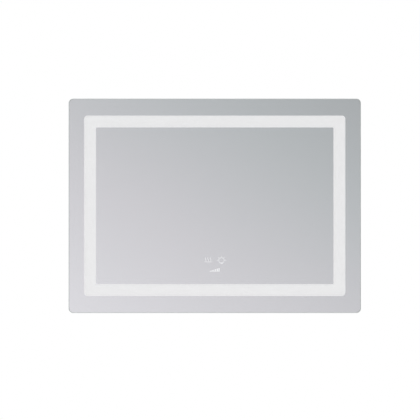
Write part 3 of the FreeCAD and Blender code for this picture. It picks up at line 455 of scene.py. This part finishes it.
def drawn_metal(name, dark, pale, run, rough, mitred=False):
    """Extruded or rolled metal with fine lines along its run, an axis number, and handling marks.

    A mitred rail also has a fine dark line where it meets the next one."""
    material, shader = new_material(name)
    place = shader.place()
    factors = [1.0, 1.0, 1.0]
    factors[run] = 0.006
    streaks = shader.noise(shader.stretch(place, factors), 900, 4, 0.7)
    smudges = shader.noise(place, 24, 4, 0.6)
    scuffs = shader.smooth(shader.noise(shader.stretch(place, (3.0, 3.0, 0.6)), 130, 5, 0.7), 0.62, 0.74)
    base = shader.blend(streaks * 0.7 + smudges * 0.3, dark, pale)
    base = shader.blend(scuffs * 0.12, base, tuple(min(1, part * 1.25) for part in pale))
    if mitred:
        x, _, z = shader.split(place)
        off_mitre = abs(abs(x) - abs(z - centre_z * MM) - (chassis_half_x - chassis_half_z) * MM)
        base = shader.blend(off_mitre < mitre_line * MM, base, (0.10, 0.10, 0.10))
    shader.finish(
        Base_Color=base,
        Metallic=1.0,
        Roughness=rough + streaks * 0.14 + smudges * 0.08 - scuffs * 0.05,
        Normal=shader.bump(streaks, 0.000015),
    )
    return material


def galvanised_steel(name, crystals, shift):
    """Hot-dip zinc: flat crystals of slightly different grey, each with its own sheen.

    A shift in metres gives the pieces of another sheet crystals of their own."""
    material, shader = new_material(name)
    place = shader.node("ShaderNodeVectorMath", {"operation": "ADD"}, {0: shader.place(), 1: shift})
    warp = shader.noise(place, 55, 3)
    bent = shader.node("ShaderNodeVectorMath", {"operation": "MULTIPLY_ADD"},
                       {0: (0.010, 0.010, 0.010), 1: warp, 2: place})
    crystal = shader.cells(bent, crystals, output="Color")
    shade = shader.split(crystal)[0]
    seam = shader.smooth(shader.cells(bent, crystals, "DISTANCE_TO_EDGE"), 0.0, 0.09)
    feather = shader.noise(shader.stretch(place, (1.0, 1.0, 0.12)), 420, 3)
    bloom = shader.smooth(shader.noise(place, 9, 4, 0.6), 0.52, 0.75)
    tone = shade * 0.6 + feather * 0.25 + seam * 0.15
    metal = shader.blend(tone, (0.44, 0.46, 0.48), (0.64, 0.66, 0.68))
    shader.finish(
        Base_Color=shader.blend(bloom * 0.30, metal, (0.66, 0.67, 0.67)),
        Metallic=1.0 - bloom * 0.12,
        Roughness=0.34 + shade * 0.16 + bloom * 0.12,
        Normal=shader.bump(seam * 0.5 + shade * 0.3 + feather * 0.2, 0.00004),
    )
    return material


def plated_screw():
    """Bright plating, dulled in places."""
    material, shader = new_material("plated_screw")
    place = shader.place()
    swirl = shader.noise(place, 900, 3)
    tarnish = shader.smooth(shader.noise(place, 60, 3), 0.45, 0.8)
    base = shader.blend(swirl, (0.60, 0.60, 0.60), (0.74, 0.74, 0.73))
    shader.finish(
        Base_Color=shader.blend(tarnish * 0.4, base, (0.52, 0.50, 0.46)),
        Metallic=1.0,
        Roughness=0.20 + swirl * 0.12 + tarnish * 0.14,
        Normal=shader.bump(swirl, 0.00001),
    )
    return material


def moulded(name, dark, pale, rough, grain_scale=700, grain_depth=0.00005):
    """Moulded plastic or rubber with a fine spark-eroded skin and faint flow marks."""
    material, shader = new_material(name)
    place = shader.place()
    skin = shader.cells(place, grain_scale, "SMOOTH_F1")
    flow = shader.noise(shader.stretch(place, (1.0, 1.0, 0.35)), 26, 4, 0.6)
    shader.finish(
        Base_Color=shader.blend(flow, dark, pale),
        Roughness=rough + skin * 0.12 + flow * 0.06,
        Normal=shader.bump(skin, grain_depth),
    )
    return material


def foam_tape():
    """Dark foam with small and large pores."""
    material, shader = new_material("foam_tape")
    place = shader.place()
    pores = shader.cells(place, 1500)
    coarse = shader.cells(place, 620)
    open_cell = shader.smooth(pores * 0.6 + coarse * 0.4, 0.15, 0.5)
    shader.finish(
        Base_Color=shader.blend(open_cell, (0.07, 0.07, 0.075), (0.19, 0.19, 0.20)),
        Roughness=0.85 + pores * 0.1,
        Normal=shader.bump(open_cell, 0.00020),
    )
    return material


def led_board(run):
    """White strip board: a lamp at each pitch, and copper pads and a cut line between the lamps."""
    material, shader = new_material(f"led_board_{'xyz'[run]}")
    place = shader.place()
    axes = shader.split(place)
    start = centre_z * MM if run == ALONG_Z else 0.0
    along = shader.math("PINGPONG", axes[run] - start, led_pitch / 2 * MM)
    across = abs(axes[1] - strip_middle * MM)
    lamp = (along < lamp_half[0] * MM) & (across < lamp_half[1] * MM)
    phosphor = (along < phosphor_half[0] * MM) & (across < phosphor_half[1] * MM)
    pad_ends = (along > pads_along[0] * MM) & (along < pads_along[1] * MM)
    pads = pad_ends & (across > pads_across[0] * MM) & (across < pads_across[1] * MM)
    weave = shader.noise(shader.stretch(place, (1, 3, 1)), 800, 2)
    board = shader.blend(weave, (0.84, 0.83, 0.79), (0.90, 0.89, 0.86))
    board = shader.blend(pads, board, (0.72, 0.43, 0.24))
    board = shader.blend(along > cut_along * MM, board, (0.20, 0.20, 0.20))
    board = shader.blend(lamp, board, (0.93, 0.93, 0.92))
    shader.finish(
        Base_Color=shader.blend(phosphor, board, (0.93, 0.80, 0.30)),
        Metallic=pads * 0.9,
        Roughness=0.38 + weave * 0.15 - phosphor * 0.2,
        Normal=shader.bump(pads + weave * 0.2, 0.00003),
    )
    return material


def circuit_board():
    """Green resist over copper tracks on woven glass."""
    material, shader = new_material("circuit_board")
    place = shader.place()
    across = shader.node("ShaderNodeTexBrick", {"offset": 0.5}, {
        "Vector": shader.node("ShaderNodeMapping", inputs={0: place, 2: (math.radians(90), 0, 0)}),
        "Color1": (0, 0, 0, 1), "Color2": (0.15, 0.15, 0.15, 1), "Mortar": white,
        "Scale": 120.0, "Mortar Size": 0.035, "Brick Width": 0.9, "Row Height": 0.32,
    })
    tracks = shader.smooth(across, 0.4, 0.6)
    weave = shader.cells(shader.stretch(place, (1, 1, 1.6)), 1100, "DISTANCE_TO_EDGE")
    holes = shader.cells(place, 210) < 0.16
    resist = shader.blend(tracks, (0.015, 0.16, 0.07), (0.05, 0.30, 0.13))
    shader.finish(
        Base_Color=shader.blend(holes, resist, (0.78, 0.74, 0.66)),
        Metallic=holes * 0.8,
        Roughness=0.26 + weave * 0.3,
        Normal=shader.bump(tracks * 0.7 + weave * 0.3, 0.00004),
    )
    return material


def board_parts():
    """Wound, sleeved and moulded parts: their sleeve colour changes from part to part along the board."""
    material, shader = new_material("board_parts")
    place = shader.place()
    step = shader.math("SNAP", shader.split(place)[0] * (1 / MM), part_pitch)
    pick = shader.node("ShaderNodeTexWhiteNoise", {"noise_dimensions": "1D"}, {"W": step})
    sleeve = shader.ramp(
        pick, (0.0, (0.02, 0.02, 0.025)), (0.35, (0.03, 0.06, 0.16)), (0.6, (0.30, 0.18, 0.05)),
        (0.85, (0.10, 0.10, 0.11)),
    )
    fleck = shader.noise(place, 700, 2)
    shader.finish(
        Base_Color=shader.blend(fleck * 0.15, sleeve, (0.5, 0.5, 0.5)),
        Roughness=0.3 + fleck * 0.2,
        Normal=shader.bump(fleck, 0.00003),
    )
    return material


def heating_film():
    """Amber polyester film with lighter pressed strips where the tracks run."""
    material, shader = new_material("heating_film")
    place = shader.place()
    ribs = shader.node("ShaderNodeTexWave", {"wave_type": "BANDS", "bands_direction": "Z"},
                       {"Vector": place, "Scale": 11.5, "Distortion": 0.0})
    creases = shader.noise(place, 30, 4, 0.6)
    shader.finish(
        Base_Color=shader.blend(ribs * 0.5 + creases * 0.5, (0.62, 0.58, 0.50), (0.82, 0.80, 0.74)),
        Roughness=0.28 + creases * 0.25,
        Coat_Weight=creases * 0.4,
        Normal=shader.bump(ribs * 0.4 + creases * 0.6, 0.00008),
    )
    return material


def lead_jacket():
    """White lead sleeves, with a grey tracer line on the ones that lie near the panel."""
    material, shader = new_material("lead_jacket")
    place = shader.place()
    rub = shader.noise(place, 240, 3)
    tracer = abs(shader.split(place)[1] - tracer_y * MM) < tracer_half * MM
    sleeve = shader.blend(rub, (0.74, 0.74, 0.73), (0.84, 0.84, 0.83))
    shader.finish(
        Base_Color=shader.blend(tracer, sleeve, (0.30, 0.31, 0.33)),
        Roughness=0.36 + rub * 0.16,
        Normal=shader.bump(rub, 0.00004),
    )
    return material


# ---- Piece making ----------------------------------------------------------------------------------------

# How near a height an edge's ends must be to count as at it, and how far each copy of a piece is turned.
height_slack = 0.01
copy_turn = math.radians(53)


def finish_piece(bm, name, material, node_names, rim=RIM, second=None):
    """Turns a bmesh drawn in millimetres into a piece of the mirror, which may stand for CAD nodes."""
    bmesh.ops.scale(bm, vec=(MM, MM, MM), verts=bm.verts)
    for edge in bm.edges:
        edge.smooth = len(edge.link_faces) == 2 and edge.calc_face_angle(math.pi) < rim
    for face in bm.faces:
        face.smooth = True
    mesh = bpy.data.meshes.new(name)
    bm.to_mesh(mesh)
    bm.free()
    mesh.materials.append(material)
    if second:
        mesh.materials.append(second)
    piece = bpy.data.objects.new(name, mesh)
    bpy.context.scene.collection.objects.link(piece)
    piece.modifiers.new("even_shading", "WEIGHTED_NORMAL").keep_sharp = True
    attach(piece, "mirror")
    if node_names:
        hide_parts(*node_names)


def only(kind, parts):
    """The vertices, edges or faces among what an operator has made."""
    return [part for part in parts if isinstance(part, kind)]


def rounded_face(bm, half_x, half_z, radius, y, middle_z, segments=8):
    """A flat face with rounded corners that looks towards -Y."""
    before = set(bm.faces)
    made = bmesh.ops.create_grid(bm, x_segments=1, y_segments=1, size=1)["verts"]
    place = Matrix.Translation((0, y, middle_z)) @ Matrix.Rotation(math.radians(90), 4, "X")
    bmesh.ops.transform(bm, matrix=place @ Matrix.Diagonal((half_x, half_z, 1, 1)), verts=made)
    bmesh.ops.bevel(bm, geom=made, offset=radius, segments=segments, profile=0.5, affect="VERTICES",
                    offset_type="OFFSET", material=-1)
    return next(face for face in bm.faces if face not in before)


def thicken(bm, faces, depth):
    """Draws faces out by a depth along Y, which closes them into a slab, and returns the first new face."""
    made = bmesh.ops.extrude_face_region(bm, geom=faces)["geom"]
    bmesh.ops.translate(bm, vec=(0, depth, 0), verts=only(bmesh.types.BMVert, made))
    bmesh.ops.recalc_face_normals(bm, faces=bm.faces)
    return only(bmesh.types.BMFace, made)[0]


def round_edges(bm, chosen, offset, segments):
    bmesh.ops.bevel(bm, geom=chosen, offset=offset, segments=segments, profile=0.5, affect="EDGES",
                    offset_type="OFFSET", material=-1, clamp_overlap=True)


def edges_at(bm, y):
    """The edges that lie at a height off the wall."""
    return [edge for edge in bm.edges if all(abs(vertex.co.y - y) < height_slack for vertex in edge.verts)]


def turned(profile, steps):
    """A round piece about the Y axis, from its (radius, y) profile."""
    bm = bmesh.new()
    line = [bm.verts.new((radius, y, 0)) for radius, y in profile]
    edges = [bm.edges.new(pair) for pair in zip(line, line[1:])]
    bmesh.ops.spin(bm, geom=line + edges, cent=(0, 0, 0), axis=(0, 1, 0), angle=math.tau, steps=steps,
                   use_merge=True)
    bmesh.ops.remove_doubles(bm, verts=bm.verts, dist=0.001)
    bmesh.ops.recalc_face_normals(bm, faces=bm.faces)
    return bm


def join(bm, other):
    """Moves all of another bmesh into this one."""
    mesh = bpy.data.meshes.new("template")
    other.to_mesh(mesh)
    other.free()
    bm.from_mesh(mesh)
    bpy.data.meshes.remove(mesh)


def copies(template, places):
    """One bmesh with a template at each (x, y, z) place, each turned on its axis from the one before."""
    bm = bmesh.new()
    for index, place in enumerate(places):
        one = template.copy()
        turn = Matrix.Rotation(copy_turn * index, 4, "Y")
        bmesh.ops.transform(one, matrix=Matrix.Translation(place) @ turn, verts=one.verts)
        join(bm, one)
    template.free()
    return bm


# ---- Glass -----------------------------------------------------------------------------------------------

glass_gap = 0.05
frost_front, frost_depth = -37.98, 0.08

# Square millimetres: only the sheet's front and rear are larger.
broad_face = 100000.0


def make_glass():
    """The sheet, with polished arrises. A hair's gap keeps its rear face off the silver."""
    bm = bmesh.new()
    front = rounded_face(bm, glass_half_x, glass_half_z, glass_corner, glass_front, centre_z, 14)
    rear_y = glass_back - glass_gap
    thicken(bm, [front], rear_y - glass_front)
    round_edges(bm, edges_at(bm, glass_front) + edges_at(bm, rear_y), glass_arris, 2)
    for face in bm.faces:
        face.material_index = 0 if face.calc_area() > broad_face else 1
    finish_piece(bm, "glass", clear_glass(), ["glass_sheet"], GLASS_RIM, polished_edge())


def make_frost():
    """The sand-blasted band in the gap between the two silvered areas."""
    bm = bmesh.new()
    outer = rounded_face(bm, band_half_x, band_half_z, band_outer_corner, frost_front, centre_z)
    outer_edges = list(outer.edges)
    inner_x, inner_z = band_half_x - band_width, band_half_z - band_width
    inner = rounded_face(bm, inner_x, inner_z, band_inner_corner, frost_front, centre_z)
    inner_edges = list(inner.edges)
    bmesh.ops.delete(bm, geom=[outer, inner], context="FACES_ONLY")
    bmesh.ops.bridge_loops(bm, edges=outer_edges + inner_edges)
    bmesh.ops.recalc_face_normals(bm, faces=bm.faces)
    thicken(bm, list(bm.faces), frost_depth)
    finish_piece(bm, "frosted_band", lit_frost(), [])


# ---- Fasteners -------------------------------------------------------------------------------------------

head_radius, head_height = 3.6, 2.2
shank_radius, thread_core = 1.9, 1.45
shank_length = 7.0
point_length, point_radius = 1.2, 0.35

# The thread's root and crest are at these parts of each turn.
thread_turns = 5
root_at, crest_at = 0.35, 0.7

# The recess is a cross of squares in a grid on the head's top, which narrows as it sinks. A square is on the
# cross if its middle is this near an axis.
recess_half, recess_squares = 2.0, 5
recess_depth, recess_taper = 1.3, 0.72
on_cross = 0.1

# The head's crown, as radius and height below its top.
crown_rings = ((2.5, 0.02), (3.2, 0.45), (head_radius, 1.2))

box_grip, cleat_grip = 1.8, 3.0
rivet_steps = 20


def draw_ring(bm, rim, radius, y):
    """Draws a rim of edges out to a circle at a radius and height, and returns the new rim."""
    made = bmesh.ops.extrude_edge_only(bm, edges=rim)["geom"]
    for vertex in only(bmesh.types.BMVert, made):
        reach = radius / math.hypot(vertex.co.x, vertex.co.z)
        vertex.co = (vertex.co.x * reach, y, vertex.co.z * reach)
    return only(bmesh.types.BMEdge, made)


def pan_screw():
    """A pan-head screw with a cross recess: its head stands towards the wall from y = 0."""
    bm = bmesh.new()
    made = bmesh.ops.create_grid(bm, x_segments=recess_squares, y_segments=recess_squares, size=recess_half)
    up = Matrix.Translation((0, head_height, 0)) @ Matrix.Rotation(math.radians(-90), 4, "X")
    bmesh.ops.transform(bm, matrix=up, verts=made["verts"])
    cross = []
    for face in bm.faces:
        middle = face.calc_center_median()
        if min(abs(middle.x), abs(middle.z)) < on_cross:
            cross.append(face)
    rim = [edge for edge in bm.edges if edge.is_boundary]
    rings = [(radius, head_height - drop) for radius, drop in crown_rings]
    rings += [(head_radius, 0.0), (shank_radius, 0.0)]
    pitch = (shank_length - point_length) / thread_turns
    for turn in range(thread_turns):
        rings.append((thread_core, -pitch * (turn + root_at)))
        rings.append((shank_radius, -pitch * (turn + crest_at)))
    rings.append((point_radius, -shank_length))
    for radius, y in rings:
        rim = draw_ring(bm, rim, radius, y)
    bmesh.ops.edgeloop_fill(bm, edges=rim)
    sunk = bmesh.ops.extrude_face_region(bm, geom=cross)["geom"]
    bmesh.ops.delete(bm, geom=cross, context="FACES")
    low = only(bmesh.types.BMVert, sunk)
    bmesh.ops.scale(bm, vec=(recess_taper, 1, recess_taper), verts=low)
    bmesh.ops.translate(bm, vec=(0, -recess_depth, 0), verts=low)
    bmesh.ops.recalc_face_normals(bm, faces=bm.faces)
    return bm


def panel_screw_places():
    """Screws along the four rails, evenly spaced between the ones next to the corners."""
    places = []
    runs = (
        (chassis_half_x - corner_screw, chassis_half_z, level_spaces, False),
        (chassis_half_z - corner_screw, chassis_half_x, upright_spaces, True),
    )
    for run, other, spaces, upright in runs:
        for index in range(spaces + 1):
            along = -run + index * 2 * run / spaces
            for across in (screw_line - other, other - screw_line):
                x, z = (across, along) if upright else (along, across)
                places.append((x, panel_rear, z + centre_z))
    return places


def around_cover(half_x, half_z, y):
    """The four corners of a rectangle about the cover's middle."""
    return [(x, y, cover_z + z) for x in (-half_x, half_x) for z in (-half_z, half_z)]


def make_screws():
    bright = plated_screw()
    modules = [(x, panel_rear, module_screw_z) for x in module_screw_x]
    cover = around_cover(cover_screw_x, cover_screw_z, panel_rear + cover_sheet)
    for name, places in (("panel_screws", panel_screw_places()), ("module_screws", modules),
                         ("cover_screws", cover)):
        finish_piece(copies(pan_screw(), places), f"cross_{name}", bright, [name])


def rivet(grip):
    """A pulled rivet: domed head at y = 0 towards the wall, and its spread end a grip further in.

    It is turned from a profile of radius and y."""
    dome = [
        (0.0, 0.35), (0.55, 0.30), (0.62, 0.92), (0.95, 1.0), (1.8, 0.85), (2.6, 0.48), (3.0, 0.12),
        (3.0, 0.0),
    ]
    spread = [(1.6, 0.0), (1.6, -grip), (2.35, -grip - 0.1), (2.4, -grip - 0.6), (1.7, -grip - 1.0)]
    return turned(dome + spread + [(0.0, -grip - 1.0)], rivet_steps)


def make_rivets():
    metal = drawn_metal("rivet_aluminium", (0.60, 0.61, 0.63), (0.74, 0.75, 0.77), ALONG_Y, 0.26)
    cleat_places = [(x, panel_rear + cleat_sheet, cleat_rivet_z) for x in cleat_rivet_x]
    bm = copies(rivet(box_grip), around_cover(box_rivet_x, box_rivet_z, panel_rear))
    join(bm, copies(rivet(cleat_grip), cleat_places))
    finish_piece(bm, "domed_rivets", metal, ["panel_rivets"])


# ---- Pressed and moulded pieces of the back --------------------------------------------------------------

# A round end's radius is a little under half its width, which keeps its two corners from meeting.
round_slack = 0.01
rib_draft = 2.2
rib_crown = 1.4
bumper_corner, bumper_edge = 3.15, 0.9

# Outlines of the wiring cover, as half width, half height and corner radius.
flange = (50.0, 44.0, 6.0)
dish_foot = (38.0, 32.0, 7.0)
dish_crown = (35.0, 29.0, 5.0)
cable_hole = (6.6, 6.6, 6.6 - round_slack)

# The cover's section, from its flange up over the dish, through the hole and back inside: an outline, how far
# out from it the section is, and its height above the panel.
cover_section = (
    (flange, 0.0, 0.8), (flange, -0.2, 1.0),
    (dish_foot, 1.2, 1.0), (dish_foot, 0.4, 1.2), (dish_foot, 0.0, 1.8),
    (dish_crown, 0.0, 5.8), (dish_crown, -0.4, 6.6), (dish_crown, -1.4, 7.0),
    (cable_hole, 0.0, 7.0), (cable_hole, 0.0, 6.0),
    (dish_crown, -2.2, 6.0), (dish_crown, -1.4, 5.8), (dish_crown, -1.1, 5.2),
    (dish_foot, -1.1, 1.0), (dish_foot, -0.7, 0.3), (dish_foot, 0.4, 0.0),
    (flange, -0.2, 0.0), (flange, 0.0, 0.2),
)

# The grommet's section, as radius and y.
grommet_steps = 40
grommet_section = (
    (4.2, -3.75), (4.55, -3.4), (8.6, -3.4), (9.3, -3.7), (9.5, -4.2), (9.3, -4.75), (8.9, -5.0),
    (6.5, -5.0), (6.5, -6.0), (8.9, -6.0), (9.4, -6.3), (9.5, -6.8), (9.2, -7.35), (8.5, -7.6),
    (4.55, -7.6), (4.2, -7.25), (4.2, -3.75),
)


def make_ribs(zinc):
    """Long pressed ribs with round ends and soft crowns."""
    bm = bmesh.new()
    middle, half_length = (rib_low + rib_high) / 2, (rib_high - rib_low) / 2
    centre = Matrix.Translation((0, 0, middle))
    shrink_x, shrink_z = 1 - rib_draft / rib_half, 1 - rib_draft / half_length
    for x in rib_places:
        rib = bmesh.new()
        foot = rounded_face(rib, rib_half, half_length, rib_half - round_slack, panel_rear, middle)
        crown = thicken(rib, [foot], rib_height)
        bmesh.ops.scale(rib, vec=(shrink_x, 1, shrink_z), verts=crown.verts, space=centre.inverted())
        round_edges(rib, edges_at(rib, panel_rear + rib_height), rib_crown, 4)
        bmesh.ops.translate(rib, vec=(x, 0, 0), verts=rib.verts)
        join(bm, rib)
    finish_piece(bm, "pressed_ribs", zinc, ["panel_ribs"])


def make_cover(zinc):
    """The wiring cover: a soft-edged dish with a flange and the cable hole."""
    bm = bmesh.new()
    rims = []
    for (half_x, half_z, radius), out, height in cover_section:
        face = rounded_face(bm, half_x + out, half_z + out, radius + out, panel_rear + height, cover_z, 6)
        rims.append(list(face.edges))
        bmesh.ops.delete(bm, geom=[face], context="FACES_ONLY")
    for first, second in zip(rims, rims[1:] + rims[:1]):
        bmesh.ops.bridge_loops(bm, edges=first + second)
    bmesh.ops.recalc_face_normals(bm, faces=bm.faces)
    finish_piece(bm, "dished_cover", zinc, ["wiring_cover"])


def make_grommet(rubber):
    """The inlet grommet: two rolled lips either side of a neck, and a clear bore."""
    bm = turned(grommet_section, grommet_steps)
    bmesh.ops.translate(bm, vec=(0, 0, cover_z), verts=bm.verts)
    finish_piece(bm, "rolled_grommet", rubber, ["cable_grommet"])


def make_bumpers(rubber):
    """Four rubber blocks with round ends and a soft edge where they meet the wall."""
    bm = bmesh.new()
    for hand_x, hand_z in CORNERS:
        block = bmesh.new()
        foot = rounded_face(block, bumper_half_x, bumper_half_z, bumper_corner, -bumper_height, 0, 6)
        thicken(block, [foot], bumper_height)
        round_edges(block, edges_at(block, 0.0), bumper_edge, 3)
        place = (hand_x * bumper_x, 0, centre_z + hand_z * bumper_z)
        bmesh.ops.translate(block, vec=place, verts=block.verts)
        join(bm, block)
    finish_piece(bm, "soft_bumpers", rubber, ["wall_bumpers"])


# ---- Finishes on the CAD nodes ---------------------------------------------------------------------------

def dress(material, *names):
    for name in names:
        nodes[name].material_slots[0].material = material


def dress_metal(sheet, pressings):
    pale, bright = (0.63, 0.64, 0.655), (0.77, 0.78, 0.79)
    level_run = drawn_metal("anodised_level", pale, bright, ALONG_X, 0.27, mitred=True)
    upright_run = drawn_metal("anodised_upright", pale, bright, ALONG_Z, 0.27, mitred=True)
    mill = drawn_metal("mill_aluminium", (0.60, 0.61, 0.62), (0.76, 0.77, 0.78), ALONG_X, 0.33)
    brass = drawn_metal("terminal_brass", (0.66, 0.50, 0.24), (0.83, 0.67, 0.37), ALONG_Y, 0.24)
    track = drawn_metal("heating_track", (0.50, 0.46, 0.43), (0.68, 0.64, 0.60), ALONG_X, 0.3)
    dress(level_run, "rail_top", "rail_bottom")
    dress(upright_run, "rail_left", "rail_right")
    dress(mill, "wall_cleat", "panel_cleat")
    dress(brass, "terminal_screws")
    dress(track, "defogger_track")
    dress(sheet, "back_panel")
    dress(pressings, "wiring_box", *[name for name in nodes if name.startswith("corner_bracket")])
    dress(silvering(), "silver_border", "silver_centre")


def dress_plastic(rubber):
    white_sheet = moulded("white_sheet", (0.86, 0.86, 0.85), (0.91, 0.91, 0.90), 0.45, 900, 0.00002)
    white_case = moulded("white_case", (0.74, 0.74, 0.72), (0.81, 0.81, 0.79), 0.38)
    black_case = moulded("black_case", (0.030, 0.030, 0.033), (0.060, 0.060, 0.064), 0.36)
    dress(white_sheet, *[f"reflector_{side}" for side in SIDES])
    dress(white_case, "driver_base", "driver_cover", "relay_base", "relay_cover", "lead_clips")
    dress(black_case, "touch_case", "touch_lid", "terminal_block")
    dress(lit_window(), "touch_window")
    dress(opal_acrylic(), *[f"diffuser_{side}" for side in SIDES])
    dress(led_board(ALONG_X), "led_strip_top", "led_strip_bottom")
    dress(led_board(ALONG_Z), "led_strip_left", "led_strip_right")
    dress(circuit_board(), "driver_board", "relay_board", "touch_board")
    dress(board_parts(), "driver_components", "relay_components")
    dress(foam_tape(), "bonding_tape")
    dress(rubber, "lead_bushings")
    dress(heating_film(), "defogger_pad")
    dress(lead_jacket(), "led_leads", "supply_leads", "touch_leads", "pad_lead")


# ---- Making it all ---------------------------------------------------------------------------------------

bpy.context.scene.view_settings.view_transform = "Standard"
aim_camera()
build_room()
lay_floor()
hang_lamp("front_lamp", (-2.2, -2.6, 1.6))
hang_lamp("rear_lamp", (2.0, 2.4, 1.5))

sheet = galvanised_steel("galvanised_sheet", crystals=95, shift=(0.0, 0.0, 0.0))
pressings = galvanised_steel("galvanised_pressings", crystals=150, shift=(0.37, 0.0, 0.21))
rubber = moulded("black_rubber", (0.022, 0.022, 0.023), (0.050, 0.050, 0.052), 0.62, 900)
make_glass()
make_frost()
make_screws()
make_rivets()
make_ribs(pressings)
make_cover(pressings)
make_grommet(rubber)
make_bumpers(rubber)
dress_metal(sheet, pressings)
dress_plastic(rubber)
